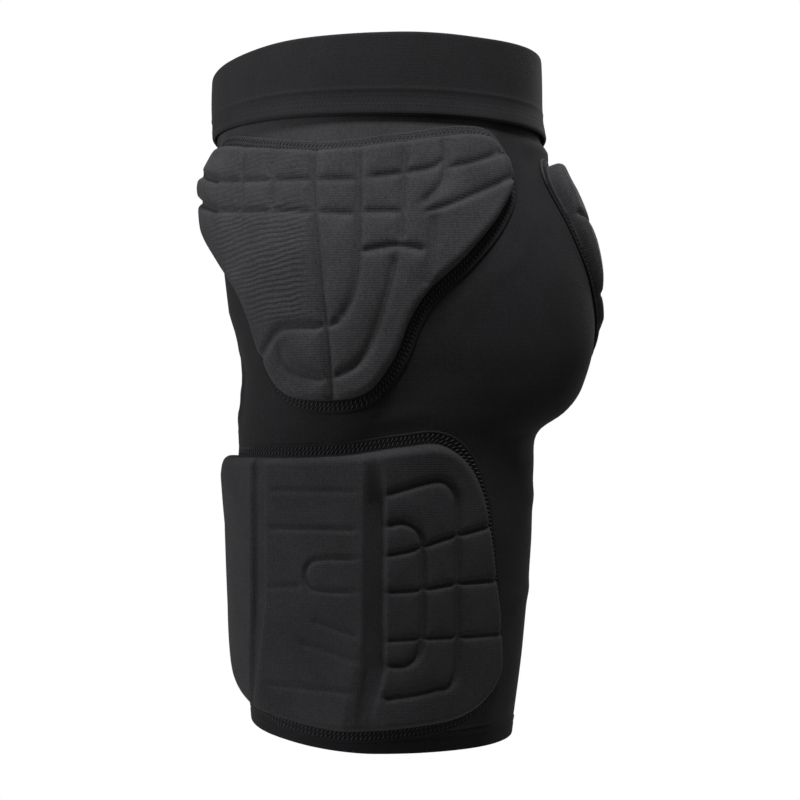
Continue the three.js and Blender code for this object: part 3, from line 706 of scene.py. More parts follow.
def inner_grid(outline):
    """A grid of points inside a pad's rim, its faces, and the loop of its outermost points,
    which are moved onto the line where the rim's rounding starts."""
    low, high = outline.min(0), outline.max(0)
    columns, rows = np.ceil((high - low) / PAD_GRID).astype(int) + 1
    x, y = np.meshgrid(low[0] + np.arange(columns) * PAD_GRID,
                       low[1] + np.arange(rows) * PAD_GRID)
    flat = np.stack([x.ravel(), y.ravel()], -1)
    gap, _, _ = nearest(outline, flat, True)
    kept = is_inside(outline, flat) & (gap > SHOULDER - 0.4 * PAD_GRID)
    faces = grid_faces(rows, columns)
    faces = faces[kept[faces].all(1)]
    used, faces = np.unique(faces, return_inverse=True)
    faces = faces.reshape(-1, 4)
    flat = flat[used]
    edges = np.concatenate([faces[:, [k, (k + 1) % 4]] for k in range(4)])
    size = len(flat)
    keys = edges[:, 0] * size + edges[:, 1]
    back = edges[:, 1] * size + edges[:, 0]
    rim = edges[~np.isin(back, keys)]
    follows = dict(rim.tolist())
    loop = [int(rim[0, 0])]
    while follows[loop[-1]] != loop[0]:
        loop.append(follows[loop[-1]])
    loop = np.array(loop)
    flat[loop] = even_loop(outline, flat[loop])
    relax(flat, edges, loop)
    return flat, faces, loop


def even_loop(outline, points):
    """Moves a loop of points onto the line that lies SHOULDER inside the outline, and spaces
    them evenly along it."""
    for _ in range(3):
        gap, place, _ = nearest(outline, points, True)
        inward = (points - place) / gap[:, None]
        points = place + inward * SHOULDER
        ring = np.vstack([points, points[:1]])
        along = length_along(ring)
        even = np.linspace(0, along[-1], len(points), endpoint=False)
        shift = (along[:-1] - even).mean()
        even = (even + shift) % along[-1]
        points = np.stack([np.interp(even, along, ring[:, k]) for k in (0, 1)], -1)
    return points


def relax(flat, edges, loop):
    """Evens out the spacing of the points inside a loop that stays."""
    held = np.zeros(len(flat), bool)
    held[loop] = True
    degree = np.bincount(edges[:, 0], minlength=len(flat))
    for _ in range(12):
        total = np.stack(
            [np.bincount(edges[:, 0], flat[edges[:, 1], k], len(flat)) for k in (0, 1)], -1)
        middle = total / np.maximum(degree, 1)[:, None]
        inner = ~held & (degree >= 4)
        flat[inner] = middle[inner]


def no_ripples(flat):
    return np.zeros(len(flat))


def rim_rings():
    """Rings of points round a pad from its face out to the end of its sewn edge: distance
    inside the outline, and share of the height."""
    rings = []
    for turn in np.linspace(0, 1, RIM_ROUND_RINGS + 1)[1:]:
        angle = turn * math.pi / 2
        rings.append((SHOULDER * (1 - math.sin(angle)),
                      RIM_STEP + (1 - RIM_STEP) * math.cos(angle)))
    rings += [(-RIM_FOOT, RIM_STEP * share) for share in RIM_UPRIGHT]
    return rings + [(-out * MM, 0.0) for out in EDGE_RINGS]


def pad_piece(name, pad, edge, relief, thickness, place, ripples):
    """A moulded pad: its face, its rounded rim, the thin sewn edge and its underside."""
    sizes = bpy.context.scene.shorts_sizes
    outline = spline(on_pad(pad, edge), True)
    flat, faces, loop = inner_grid(outline)
    gap, on_outline, _ = nearest(outline, flat[loop], True)
    inward = (flat[loop] - on_outline) / gap[:, None]
    around = len(loop)
    edge_width, edge_height = sizes.edge_width, sizes.edge_thickness
    parts, lifts = [flat], [relief(flat, thickness)]
    for inside, share in rim_rings():
        ring = on_outline + inward * inside
        if share > 0:
            lift = edge_height + (relief(ring, thickness) - edge_height) * share
        else:
            lift = np.full(around, edge_height - STITCH_DENT * stitch_dent(-inside))
        parts.append(ring)
        lifts.append(lift)
    for height in (EDGE_BEVEL * edge_height, 0.0):
        parts.append(on_outline - inward * edge_width)
        lifts.append(np.full(around, height))
    parts.append(flat)
    lifts.append(np.zeros(len(flat)))
    starts = np.cumsum([len(part) for part in parts])
    loops = [loop, *(start + np.arange(around) for start in starts[:-2]), starts[-2] + loop]
    strips = [strip(inner, outer) for inner, outer in zip(loops, loops[1:])]
    cloth = np.vstack(parts)
    lift = np.concatenate(lifts)
    points = lifted(place, cloth, EDGE_PAD_LIFT + lift)
    every = np.vstack([faces, *strips, starts[-2] + faces[:, ::-1]])
    # Painted shadow: the sewn edge below the pad's upper part takes the darker edge colour,
    # where the pad's rim shades it
    sewn = (lift < EDGE_BELOW * edge_height).astype(float)
    sewn *= step_between(-cloth[:, 1], *EDGE_SHADOW_DEPTHS)
    masks = {"edge": sewn, "ripple": ripples(cloth) * (1 - sewn)}
    piece = mesh_piece(name, points, every, cloth, masks=masks)
    smooth(piece)
    return piece


def stitch_dent(out):
    """How much the stitch rows pull the sewn edge down at a distance from the rim."""
    return sum(math.exp(-(((out - row) / STITCH_DENT_WIDTH) ** 2)) for row in STITCH_ROWS)


def strip(inner, outer):
    """Faces between two loops of equally many points, the second outside the first."""
    return np.stack([outer, np.roll(outer, -1), np.roll(inner, -1), inner], -1)


# Stitches


def stitch_form():
    """The points and faces of one stitch, a spindle along x, 1 long and 1 thick."""
    bpy.ops.object.select_all(action="DESELECT")
    bpy.ops.mesh.primitive_uv_sphere_add(segments=6, ring_count=4, radius=0.5)
    spindle = bpy.context.object
    bpy.ops.object.mode_set(mode="EDIT")
    bpy.ops.mesh.select_all(action="SELECT")
    bpy.ops.transform.rotate(value=math.pi / 2, orient_axis="Y", center_override=(0, 0, 0))
    bpy.ops.object.mode_set(mode="OBJECT")
    points = np.array([v.co for v in spindle.data.vertices])
    faces = [list(polygon.vertices) for polygon in spindle.data.polygons]
    bpy.data.objects.remove(spindle)
    return points, faces


def stitched(name, starts, ends, normals, thread):
    """One mesh of stitches, each from its start to its end and lying on the cloth."""
    length = float(np.linalg.norm(ends - starts, axis=1).mean())
    form, faces = stitch_form()
    along = ends - starts
    side = np.cross(normals, along)
    side /= np.linalg.norm(side, axis=1, keepdims=True)
    points = (
        ((starts + ends) / 2)[:, None]
        + form[None, :, :1] * along[:, None]
        + form[None, :, 1:2] * side[:, None] * thread
        + form[None, :, 2:] * normals[:, None] * thread
    ).reshape(-1, 3)
    every = [
        [corner + k * len(form) for corner in face] for k in range(len(starts)) for face in faces
    ]
    mesh = bpy.data.meshes.new(name)
    mesh.from_pydata(points.tolist(), [], every)
    layer = mesh.uv_layers.new(name="cloth")
    corner = np.zeros(len(mesh.loops), int)
    mesh.loops.foreach_get("vertex_index", corner)
    cloth = np.tile(form[:, :2] * (length, thread), (len(starts), 1))
    layer.data.foreach_set("uv", cloth[corner].ravel())
    piece = bpy.data.objects.new(name, mesh)
    bpy.context.scene.collection.objects.link(piece)
    smooth(piece)
    return piece


def edge_stitches(name, pad, edge, place):
    """The rows of slanted cover stitches on a pad's sewn edge."""
    sizes = bpy.context.scene.shorts_sizes
    outline = spline(on_pad(pad, edge), True)
    ahead = np.roll(outline, -1, 0) - np.roll(outline, 1, 0)
    ahead /= np.linalg.norm(ahead, axis=1, keepdims=True)
    outward = np.stack([ahead[:, 1], -ahead[:, 0]], -1)
    if is_inside(outline, outline[:1] + outward[:1] * MM)[0]:
        outward = -outward
    ring = np.vstack([outline, outline[:1]])
    along = length_along(ring)
    out_ring = np.vstack([outward, outward[:1]])
    count = int(along[-1] / sizes.stitch_length)
    at = np.arange(count) * along[-1] / count

    def flat_at(length, out):
        length = length % along[-1]
        on = np.stack([np.interp(length, along, ring[:, k]) for k in (0, 1)], -1)
        away = np.stack([np.interp(length, along, out_ring[:, k]) for k in (0, 1)], -1)
        return on + away * out

    starts, ends = [], []
    for row in STITCH_ROWS:
        starts.append(flat_at(at, row - STITCH_SLANT))
        ends.append(flat_at(at + STITCH_FORWARD * sizes.stitch_length, row + STITCH_SLANT))
    starts, ends = np.vstack(starts), np.vstack(ends)
    lift = EDGE_PAD_LIFT + sizes.edge_thickness - STITCH_SUNK
    low, high = lifted(place, starts, lift), lifted(place, ends, lift)
    away = lifted(place, (starts + ends) / 2, lift + MM)
    away -= lifted(place, (starts + ends) / 2, lift)
    away /= np.linalg.norm(away, axis=1, keepdims=True)
    return stitched(name, low, high, away, sizes.thread)


# Cloth pieces


def hem_rise(angle):
    """How far the leg opening rises above its lowest point, the most at its front."""
    return HEM_FRONT_RISE * np.maximum(-np.sin(angle), 0) ** 1.5


# Folds of the shell on the wearer's left half, in millimetres: height, half width, and the
# path as (u, z). Heights below 0 are creases.
FOLDS = {
    "groin upper": (1.6, 5.0, [(-196, -168), (-168, -182), (-138, -186)]),
    "groin crease": (-1.5, 4.0, [(-214, -192), (-180, -204), (-140, -208), (-118, -204)]),
    "groin lower": (1.8, 5.0, [(-210, -206), (-176, -220), (-136, -226), (-104, -222)]),
    "front hip": (1.2, 5.0, [(-134, -190), (-120, -206), (-112, -228)]),
    "front hip crease": (-1.0, 3.5, [(-127, -186), (-112, -204), (-104, -226)]),
    "seat fold": (-4.0, 11.0, [(96, -242), (140, -234), (190, -224), (236, -216)]),
    "seat top": (3.8, 9.0, [(104, -57), (160, -55), (212, -55)]),
    "seat swell": (1.4, 9.0, [(100, -228), (146, -222), (196, -208)]),
    "rear thigh": (0.9, 6.0, [(88, -286), (126, -274), (170, -266)]),
    "rear thigh lower": (0.8, 6.0, [(86, -338), (122, -330), (168, -330)]),
    "above hem": (0.9, 3.5, [(-96, -392), (-60, -403), (-18, -408), (30, -405)]),
    "hem crease": (-0.9, 2.5, [(-92, -398), (-58, -409), (-18, -413), (26, -410)]),
    "between pads": (0.7, 4.0, [(-70, -222), (-20, -228), (30, -222)]),
    "between pads crease": (-0.6, 4.0, [(-60, -230), (-14, -236), (36, -229)]),
    "below wing": (0.6, 5.0, [(60, -150), (88, -132), (112, -100)]),
}


# How far the cloth of the front stands out at each height, both in millimetres
FRONT_SWELL = [(-160, 0.0), (-172, -2.0), (-185, -3.2), (-198, -2.0), (-208, 1.0),
               (-222, 3.0), (-234, 3.2), (-246, 1.5), (-260, 0.0)]
# Painted light: the shell takes the hip pads' lighter colour on the strip between hip pad and
# waistband, where light falls on it. Places round and down, in millimetres, between which it
# comes in and goes
LIT_STRIP_ROUND = (-160, -132, 62, 88)
LIT_STRIP_END = (64, 70)
UNEVEN_HEIGHT, UNEVEN_SIZE, UNEVEN_SEED = 0.35 * MM, 34 * MM, 3.0
FOLDS_BELOW_BAND = 12 * MM  # over this much cloth folds come in below the waistband
FOLDS_OFF_SEAM = 0.03  # and over this share of a row off its ends
HEM_RISE_REACH = 60 * MM  # how far above the leg opening its rise is felt
SEAM_WELD = 0.05 * MM
RING_WELD = 0.01 * MM


def front_swell(flat, turn):
    heights, swell = np.array(FRONT_SWELL[::-1]).T * MM
    return np.interp(flat[:, 1], heights, swell) * np.maximum(-np.sin(turn), 0) ** 2


def painted_light_strip(flat):
    """Where the shell is painted lighter, in the hip pad's colour, up to the waistband: painted
    light.
    """
    u, down = flat[:, 0] / MM, -flat[:, 1] / MM
    return between(u, *LIT_STRIP_ROUND) * (1 - step_between(down, *LIT_STRIP_END))


def fold_relief(flat):
    """How far the shell's folds stand out. Each one fades towards its ends."""
    total = np.zeros(len(flat))
    for height, half_width, path in FOLDS.values():
        curve = spline(np.array(path) * MM, False)
        gap, _, share = nearest(curve, flat, False)
        fade = np.sin(np.pi * np.clip(share, 0.02, 0.98)) ** 0.6
        total += height * MM * fade * np.exp(-((gap / (half_width * MM)) ** 2))
    return total


def shell_half():
    """Points of the shell's left half in rows from the band down, and their cloth places."""
    rows = int((LENGTH - BAND_HEIGHT + BAND_LAP) / CLOTH_GRID)
    top, foot = -(BAND_HEIGHT - BAND_LAP), -(LENGTH - HEM_HEIGHT)
    columns = int(2 * BACK_LENGTHS.max() / CLOTH_GRID)
    share = np.linspace(0, 1, columns)
    z = np.repeat(np.linspace(top, foot, rows)[:, None], columns, 1)
    fronts = np.interp(z, HEIGHTS, FRONT_LENGTHS)
    backs = np.interp(z, HEIGHTS, BACK_LENGTHS)
    u = -fronts + share * (fronts + backs)
    turn = arc_angle(u, z)
    near_hem = step_between(-z, LENGTH - HEM_RISE_REACH, LENGTH - HEM_HEIGHT)
    z = z + near_hem * hem_rise(turn)
    flat = np.stack([u.ravel(), z.ravel()], -1)
    points = side_place(flat[:, 0], flat[:, 1]).reshape(rows, columns, 3)
    down = np.gradient(points, axis=0)
    across = np.gradient(points, axis=1)
    out = np.cross(down, across)
    out /= np.maximum(np.linalg.norm(out, axis=2, keepdims=True), 1e-12)
    uneven = UNEVEN_HEIGHT * ripple(points.reshape(-1, 3), UNEVEN_SIZE, UNEVEN_SEED)
    folds = fold_relief(flat) + front_swell(flat, turn.ravel())
    lift = (folds + uneven).reshape(rows, columns, 1)
    off_seam = step_between(np.minimum(share, 1 - share), 0, FOLDS_OFF_SEAM)[None, :, None]
    below_band = step_between(-z, BAND_HEIGHT, BAND_HEIGHT + FOLDS_BELOW_BAND)[:, :, None]
    points = points + out * lift * below_band * off_seam
    torso = z[:, 0] > -RISE
    points[torso, 0, 0] = 0
    points[torso, -1, 0] = 0
    inseam = (points[~torso, 0] + points[~torso, -1]) / 2
    inseam[0, 0] = 0  # the halves meet where the two legs part
    points[~torso, 0] = inseam
    points[~torso, -1] = inseam
    return points, flat


def shorts_shell():
    """The shell as one cloth with its wall, and the area of its outside."""
    points, flat = shell_half()
    rows, columns = points.shape[:2]
    left = points.reshape(-1, 3)
    right = left * (-1, 1, 1)
    faces = np.vstack([
        grid_faces(rows, columns, flip=True),
        grid_faces(rows, columns, first=len(left), flip=False),
    ])
    # painted light: the mask that lightens the shell between hip pad and waistband
    light = np.tile(painted_light_strip(flat), 2)
    piece = mesh_piece("shorts_shell", np.vstack([left, right]), faces,
                       np.vstack([flat, flat]), weld=SEAM_WELD, masks={"edge": light})
    wall = bpy.context.scene.shorts_sizes.shell_wall
    area = face_area(piece)
    apply_modifier(piece, "SOLIDIFY", thickness=wall, offset=-1, use_rim=True)
    smooth(piece)
    return piece, area


def off_torso(turn, z, lift):
    """Points off the torso at any turn round it, also past the middle plane."""

    def around(angle, height):
        x, y = skin(section_at(height), np.arcsin(np.sin(angle)))
        return np.stack([np.where(np.cos(angle) < 0, -x, x), y, height], -1)

    back = around(turn + TURN_STEP, z) - around(turn - TURN_STEP, z)
    up = around(turn, z + MM) - around(turn, z - MM)
    out = np.cross(back, up)
    out /= np.linalg.norm(out, axis=-1, keepdims=True)
    return around(turn, z) + out * lift[..., None]


def rim_height(forward):
    """Nominal height of the waist's edge above the origin, from the back, -1, to the front."""
    tilt = (RIM_BACK_RISE + RIM_FRONT_DIP) / 2
    bow = (RIM_BACK_RISE - RIM_FRONT_DIP) / 2 - RIM_SIDE_RISE
    return RIM_SIDE_RISE - tilt * forward + bow * forward**2


# How far the band's top edge stands above its nominal height, in millimetres, from the middle
# of the back, -1, to the middle of the front, 1
RIM_SWELL = [(-1.0, -1.5), (-0.8, -2.0), (-0.55, -1.9), (-0.3, 0.0), (-0.1, 1.2), (0.1, 1.5),
             (0.25, 2.1), (0.47, 2.8), (0.73, 2.0), (0.88, 1.6), (1.0, 0.0)]


RIM_EVENED = np.linspace(-0.12, 0.12, 17)  # turns over which that height is evened out

# Swells of the band's outer face: height, its middle and half width as shares of the band's
BAND_LINE = (0.28 * MM, 0.31, 0.02)
BAND_STRIP = (-0.15 * MM, 0.2, 0.08)
BAND_SWELL, BAND_SWELL_FROM = 0.45 * MM, 0.2
BAND_FOLD, BAND_FOLD_HEIGHT = 0.35, 0.012  # the lower fold's rounding, in shares
BAND_FLARE = 1.8 * MM  # how far the back of the lower edge stands off
BAND_UNEVEN = 0.25 * MM
BAND_FACE_ROWS, BAND_INNER_ROWS, FOLD_ROWS = 48, 10, 9


def rim_swell(turn):
    known, swell = np.array(RIM_SWELL).T
    heights = [np.interp(-np.sin(turn + step), known, swell) for step in RIM_EVENED]
    return sum(heights) / len(heights) * MM


def band_face(thickness, up):
    """Lift of the band's outer face at a share of its height: its lower fold, the sewn strip
    with the line above it, and a slight swell."""
    lift = thickness * (1 - BAND_FOLD * np.exp(-up / BAND_FOLD_HEIGHT))
    for height, middle, half_width in (BAND_LINE, BAND_STRIP):
        lift = lift + height * np.exp(-(((up - middle) / half_width) ** 2))
    share = np.clip((up - BAND_SWELL_FROM) / (1 - BAND_SWELL_FROM), 0, 1)
    return lift + BAND_SWELL * np.sin(np.pi * share)


def band_profile(thickness):
    """Lift and share of the height round the band's section, from its inner lower edge."""
    points = [(0.0, 0.03), (0.12 * thickness, 0.0), (0.55 * thickness, -0.012)]
    for up in np.concatenate([[0.0, 0.01, 0.02], np.linspace(0.04, 0.95, BAND_FACE_ROWS)]):
        points.append((band_face(thickness, up), up))
    half = thickness / 2
    for turn in np.linspace(0, math.pi, FOLD_ROWS):
        points.append((half + half * math.cos(turn), 0.965 + 0.028 * math.sin(turn)))
    points += [(0.0, up) for up in np.linspace(0.9, 0.08, BAND_INNER_ROWS)]
    return np.array(points)


BAND_TURNS = np.linspace(0, 2 * math.pi, BAND_COLUMNS)
BAND_CLOSING = 2 * MM  # length of cloth across the band's last strip


def on_band(turn, up, lift):
    """Places on the band, which stands off a little at the back of its lower edge."""
    height = BAND_HEIGHT + rim_height(-np.sin(turn)) + rim_swell(turn)
    soft = BAND_UNEVEN * np.sin(5 * turn + 0.6) * np.sin(3 * turn)
    lower = np.clip(1 - up / 0.5, 0, 1)
    flare = BAND_FLARE * np.maximum(np.sin(turn), 0) ** 2 * lower**2
    return off_torso(turn, -BAND_HEIGHT + up * height, CLOTH_GAP + lift + soft + flare)


# The rows of the cover stitch along the band's lower part, as shares of its height
BAND_STITCH_ROWS = (0.1, 0.155, 0.21, 0.265)
BAND_STITCH_RISE = 0.035
BAND_STITCH_SUNK = 0.05 * MM
BAND_THREAD = 0.6  # thickness of its thread, as a share of the pads' thread


def band_stitches(length):
    """Slanted stitches round the band, where length is how far round each turn of it is."""
    sizes = bpy.context.scene.shorts_sizes
    count = int(length[-1] / sizes.stitch_length)
    starts, ends, away = [], [], []
    for row, up in enumerate(BAND_STITCH_ROWS):
        first = np.arange(count) + 0.5 * (row % 2)
        low, high = np.full(count, up), np.full(count, up + BAND_STITCH_RISE)
        turn, later = (
            np.interp(step * length[-1] / count, length, BAND_TURNS)
            for step in (first, first + 0.5))
        lift = band_face(sizes.band_thickness, up) - BAND_STITCH_SUNK
        starts.append(on_band(turn, low, lift))
        ends.append(on_band(later, high, lift))
        away.append(on_band(turn, low, lift + MM) - starts[-1])
    away = np.vstack(away)
    away /= np.linalg.norm(away, axis=1, keepdims=True)
    return stitched("waistband_stitching", np.vstack(starts), np.vstack(ends), away,
                    BAND_THREAD * sizes.thread)


def ring_piece(name, points, across):
    """A closed ring of cloth from the rows of points round its section, the lengths of cloth
    across it at each row and, at the end, back at the first one; and how far round it each
    column is."""
    rows, columns = points.shape[:2]
    length = length_along(points[rows // 2])
    wrapped = np.vstack([points, points[:1]])
    cloth = np.stack(np.broadcast_arrays(length, np.asarray(across)[:, None]), -1)
    piece = mesh_piece(name, wrapped.reshape(-1, 3), grid_faces(rows + 1, columns),
                       cloth.reshape(-1, 2), weld=RING_WELD)
    smooth(piece)
    return piece, length


def waistband_piece():
    profile = band_profile(bpy.context.scene.shorts_sizes.band_thickness)
    shape = (len(profile), BAND_COLUMNS)
    lift, up = (np.broadcast_to(column[:, None], shape) for column in profile.T)
    points = on_band(np.broadcast_to(BAND_TURNS, shape), up, lift)
    across = length_along(points[:, 0])
    return ring_piece("waistband_cloth", points, [*across, across[-1] + BAND_CLOSING])


HEM_DROP = 2.2 * MM  # how much lower the hem hangs at the outer side
HEM_CLOTH = 24 * MM  # length of cloth round the hem's section
HEM_UNEVEN = 0.3 * MM
# The row of stitches pressed into the hem: depth, place and half width, in shares
HEM_STITCH_ROW = (0.18, 0.72, 0.07)


def hem_profile(thickness):
    """Lift and height round the hem's section, from its inner lower edge."""
    half = thickness / 2
    points = []
    for turn in np.linspace(0, math.pi, FOLD_ROWS):
        points.append((half - half * math.cos(turn), 0.1 - 0.1 * math.sin(turn)))
    depth, middle, half_width = HEM_STITCH_ROW
    for up in np.linspace(0.2, 1.0, 10):
        row = math.exp(-(((up - middle) / half_width) ** 2))
        points.append((thickness * (1 - depth * row), up))
    points += [(thickness * 0.8, 1.06), (0.2 * MM, 1.08)]
    points += [(0.0, up) for up in np.linspace(0.9, 0.2, 6)]
    return np.array(points)


def leg_hem():
    """The left leg's hem, and how long it is round the leg."""
    sizes = bpy.context.scene.shorts_sizes
    profile = hem_profile(sizes.hem_thickness)
    turn = np.linspace(0, 2 * math.pi, HEM_COLUMNS)
    up = profile[:, 1][:, None]
    drop = HEM_DROP * np.maximum(np.cos(turn), 0) ** 0.5
    z = -LENGTH + hem_rise(turn)[None, :] + up * HEM_HEIGHT - drop * (1 - up)
    turns = np.broadcast_to(turn, z.shape)
    x, y = skin(section_at(z), turns)
    ahead_x, ahead_y = skin(section_at(z), turns + TURN_STEP)
    past_x, past_y = skin(section_at(z), turns - TURN_STEP)
    back = np.stack([ahead_x - past_x, ahead_y - past_y], -1)
    out = np.stack([back[..., 1], -back[..., 0]], -1)
    out /= np.linalg.norm(out, axis=-1, keepdims=True)
    lift = profile[:, 0][:, None] - sizes.shell_wall
    lift = lift + HEM_UNEVEN * (np.sin(7 * turn) * np.sin(3 * turn + 1))[None, :]
    points = np.stack([x + out[..., 0] * lift, y + out[..., 1] * lift, z], -1)
    across = np.linspace(0, HEM_CLOTH, len(profile) + 1)
    piece, length = ring_piece("leg_hem_cloth_left", points, across)
    return piece, float(length[-1])


# Materials


def add_node(tree, kind, settings=None, links=None):
    """Adds a node with its settings and input values, and links its inputs."""
    node = tree.nodes.new(kind)
    for key, value in (settings or {}).items():
        if isinstance(key, str) and hasattr(node, key):
            setattr(node, key, value)
        else:
            node.inputs[key].default_value = value
    for key, source in (links or {}).items():
        tree.links.new(source, node.inputs[key])
    return node


WAVE_SPACING = 0.31416  # a wave texture of scale 1 repeats after this much
FUZZ_SIZE = 1.4 * MM  # brushed fibres, drawn about three times as coarse so that they show
PATCH_SIZE = 26 * MM  # patches where the cloth is stretched a little more or less
COURSE_CLOSER = 1.15  # how many courses there are to a wale
RIPPLE_SPACING, RIPPLE_HEIGHT, RIPPLE_TILT = 3 * MM, 0.3 * MM, -0.14
CLOTH_IOR = 1.5
CLOTH_SPECULAR = 0.02  # loose fibres scatter nearly all the light


def cloth_material(name, colour, other, pitch, relief, roughness, mottle, rib=0.0):
    """A knitted or woven cloth. Other is the colour where the attribute edge is 1: painted
    shadow on the pads' lower sewn edges, painted light on the shell below the band. Pitch is
    the spacing of the stitches in metres, relief the depth of the bump, mottle how much the
    shade varies, rib how much rows stand out. Ripples show where the attribute ripple is 1."""
    material = bpy.data.materials.new(name)
    material.use_nodes = True
    tree = material.node_tree
    tree.nodes.clear()
    place = add_node(tree, "ShaderNodeUVMap", {"uv_map": "cloth"})
    solid = add_node(tree, "ShaderNodeTexCoord")
    scale = WAVE_SPACING / pitch
    wales, courses = (
        add_node(tree, "ShaderNodeTexWave",
                 {"bands_direction": axis, "Scale": size, "Distortion": 0.6, "Detail": 1.0,
                  "Detail Scale": 2.0}, {"Vector": place.outputs[0]})
        for axis, size in (("X", scale), ("Y", scale * COURSE_CLOSER)))
    grid = add_node(tree, "ShaderNodeMath", {"operation": "MULTIPLY"},
                    {0: wales.outputs["Fac"], 1: courses.outputs["Fac"]})
    woven = add_node(tree, "ShaderNodeMix", {"data_type": "FLOAT", "Factor": rib},
                     {"A": grid.outputs[0], "B": courses.outputs["Fac"]})
    fuzz = add_node(tree, "ShaderNodeTexNoise",
                    {"Scale": 1 / FUZZ_SIZE, "Detail": 3.0, "Roughness": 0.6},
                    {"Vector": solid.outputs["Object"]})
    patches = add_node(tree, "ShaderNodeTexNoise",
                       {"Scale": 1 / PATCH_SIZE, "Detail": 3.0, "Roughness": 0.55},
                       {"Vector": solid.outputs["Object"]})
    shade, broad = (
        add_node(tree, "ShaderNodeMapRange",
                 {"From Min": 0.3, "From Max": 0.7, "To Min": 1 - varies,
                  "To Max": 1 + varies}, {"Value": source.outputs["Fac"]})
        for source, varies in ((fuzz, mottle), (patches, 0.5 * mottle)))
    both = add_node(tree, "ShaderNodeMath", {"operation": "MULTIPLY"},
                    {0: shade.outputs[0], 1: broad.outputs[0]})
    valley = add_node(tree, "ShaderNodeMapRange", {"To Min": 0.88, "To Max": 1.07},
                      {"Value": woven.outputs[0]})
    total = add_node(tree, "ShaderNodeMath", {"operation": "MULTIPLY"},
                     {0: both.outputs[0], 1: valley.outputs[0]})
    # The attribute edge mixes in painted shadow on the pads' sewn edges and painted light on the
    # shell below the band
    edge = add_node(tree, "ShaderNodeAttribute", {"attribute_name": "edge"})
    dye = add_node(tree, "ShaderNodeMix", {"data_type": "RGBA", 6: (*colour, 1),
                                           7: (*other, 1)}, {0: edge.outputs["Fac"]})
    tint = add_node(tree, "ShaderNodeVectorMath", {"operation": "SCALE"},
                    {0: dye.outputs[2], "Scale": total.outputs[0]})
    height = add_node(tree, "ShaderNodeMath", {"operation": "MULTIPLY_ADD", 1: 0.35},
                      {0: fuzz.outputs["Fac"], 2: woven.outputs[0]})
    bump = add_node(tree, "ShaderNodeBump", {"Strength": 0.8, "Distance": relief},
                    {"Height": height.outputs[0]})
    # Ripples of the cover, rising a little to the rear
    tilted = add_node(tree, "ShaderNodeMapping", {"Rotation": (0, 0, RIPPLE_TILT)},
                      {"Vector": place.outputs[0]})
    ripples = add_node(tree, "ShaderNodeTexWave",
                       {"bands_direction": "Y", "Scale": WAVE_SPACING / RIPPLE_SPACING,
                        "Distortion": 6.0, "Detail": 3.0, "Detail Scale": 0.5},
                       {"Vector": tilted.outputs[0]})
    rippled = add_node(tree, "ShaderNodeAttribute", {"attribute_name": "ripple"})
    rise = add_node(tree, "ShaderNodeMath", {"operation": "MULTIPLY"},
                    {0: ripples.outputs["Fac"], 1: rippled.outputs["Fac"]})
    waves = add_node(tree, "ShaderNodeBump", {"Strength": 1.0, "Distance": RIPPLE_HEIGHT},
                     {"Height": rise.outputs[0], "Normal": bump.outputs[0]})
    shader = add_node(tree, "ShaderNodeBsdfPrincipled",
                      {"Roughness": roughness, "IOR": CLOTH_IOR,
                       "Specular IOR Level": CLOTH_SPECULAR},
                      {"Base Color": tint.outputs[0], "Normal": waves.outputs[0]})
    add_node(tree, "ShaderNodeOutputMaterial", None, {"Surface": shader.outputs[0]})
    return material


def woven_elastic():
    """Woven elastic: matt, with fine level ribs. The real ribs are 0.7 mm apart, drawn at
    1.5 mm so that they show."""
    colours = bpy.context.scene.shorts_colours
    return cloth_material("woven elastic", colours.elastic, colours.elastic, 1.5 * MM,
                          0.05 * MM, 0.86, 0.16, rib=0.6)


def shell_knit():
    """Polyester-elastane warp knit: smooth and matt, stitches 0.5 mm apart drawn at 1.4 mm."""
    colours = bpy.context.scene.shorts_colours
    # the hip cover colour here is painted light on the strip below the band
    return cloth_material("polyester-elastane knit", colours.knit, colours.hip_cover,
                          1.4 * MM, 0.08 * MM, 0.9, 0.22)


def hip_cover_knit():
    """Brushed stretch knit pressed over foam: the lightest of the cloths, faint courses."""
    colours = bpy.context.scene.shorts_colours
    # the edge colour here is painted shadow on the sewn edge below the pad's rim
    return cloth_material("brushed stretch knit", colours.hip_cover, colours.edge, 1.6 * MM,
                          0.1 * MM, 0.84, 0.28, rib=0.3)


def thigh_cover_knit():
    """The same knit, dyed darker, on the thigh pads."""
    colours = bpy.context.scene.shorts_colours
    # the edge colour here is painted shadow on the sewn edge below the pad's rim
    return cloth_material("brushed stretch knit, dark", colours.thigh_cover, colours.edge,
                          1.6 * MM, 0.1 * MM, 0.84, 0.24)


def hem_knit():
    """The shell's knit folded double on the hem, in the darker edge colour: painted shade at the
    bottom of the legs.
    """
    colours = bpy.context.scene.shorts_colours
    return cloth_material("polyester-elastane knit, painted shade", colours.edge, colours.edge,
                          1.4 * MM, 0.08 * MM, 0.9, 0.22)


def sewing_thread():
    """Spun polyester thread: slightly glossier than the cloth, twisted every 1 mm."""
    colours = bpy.context.scene.shorts_colours
    return cloth_material("spun polyester thread", colours.thread, colours.thread, 1.0 * MM,
                          0.06 * MM, 0.6, 0.05)


def band_thread():
    """The same thread in the waistband's dye."""
    colours = bpy.context.scene.shorts_colours
    return cloth_material("spun polyester thread, band", colours.elastic, colours.elastic,
                          1.0 * MM, 0.06 * MM, 0.6, 0.05)


MATERIAL_MAKERS = {
    "elastic": woven_elastic,
    "knit": shell_knit,
    "hip": hip_cover_knit,
    "thigh": thigh_cover_knit,
    "hem": hem_knit,
    "thread": sewing_thread,
    "band thread": band_thread,
}
made_materials = {}


def material(name):
    """One of the materials, made once."""
    if name not in made_materials:
        made_materials[name] = MATERIAL_MAKERS[name]()
    return made_materials[name]


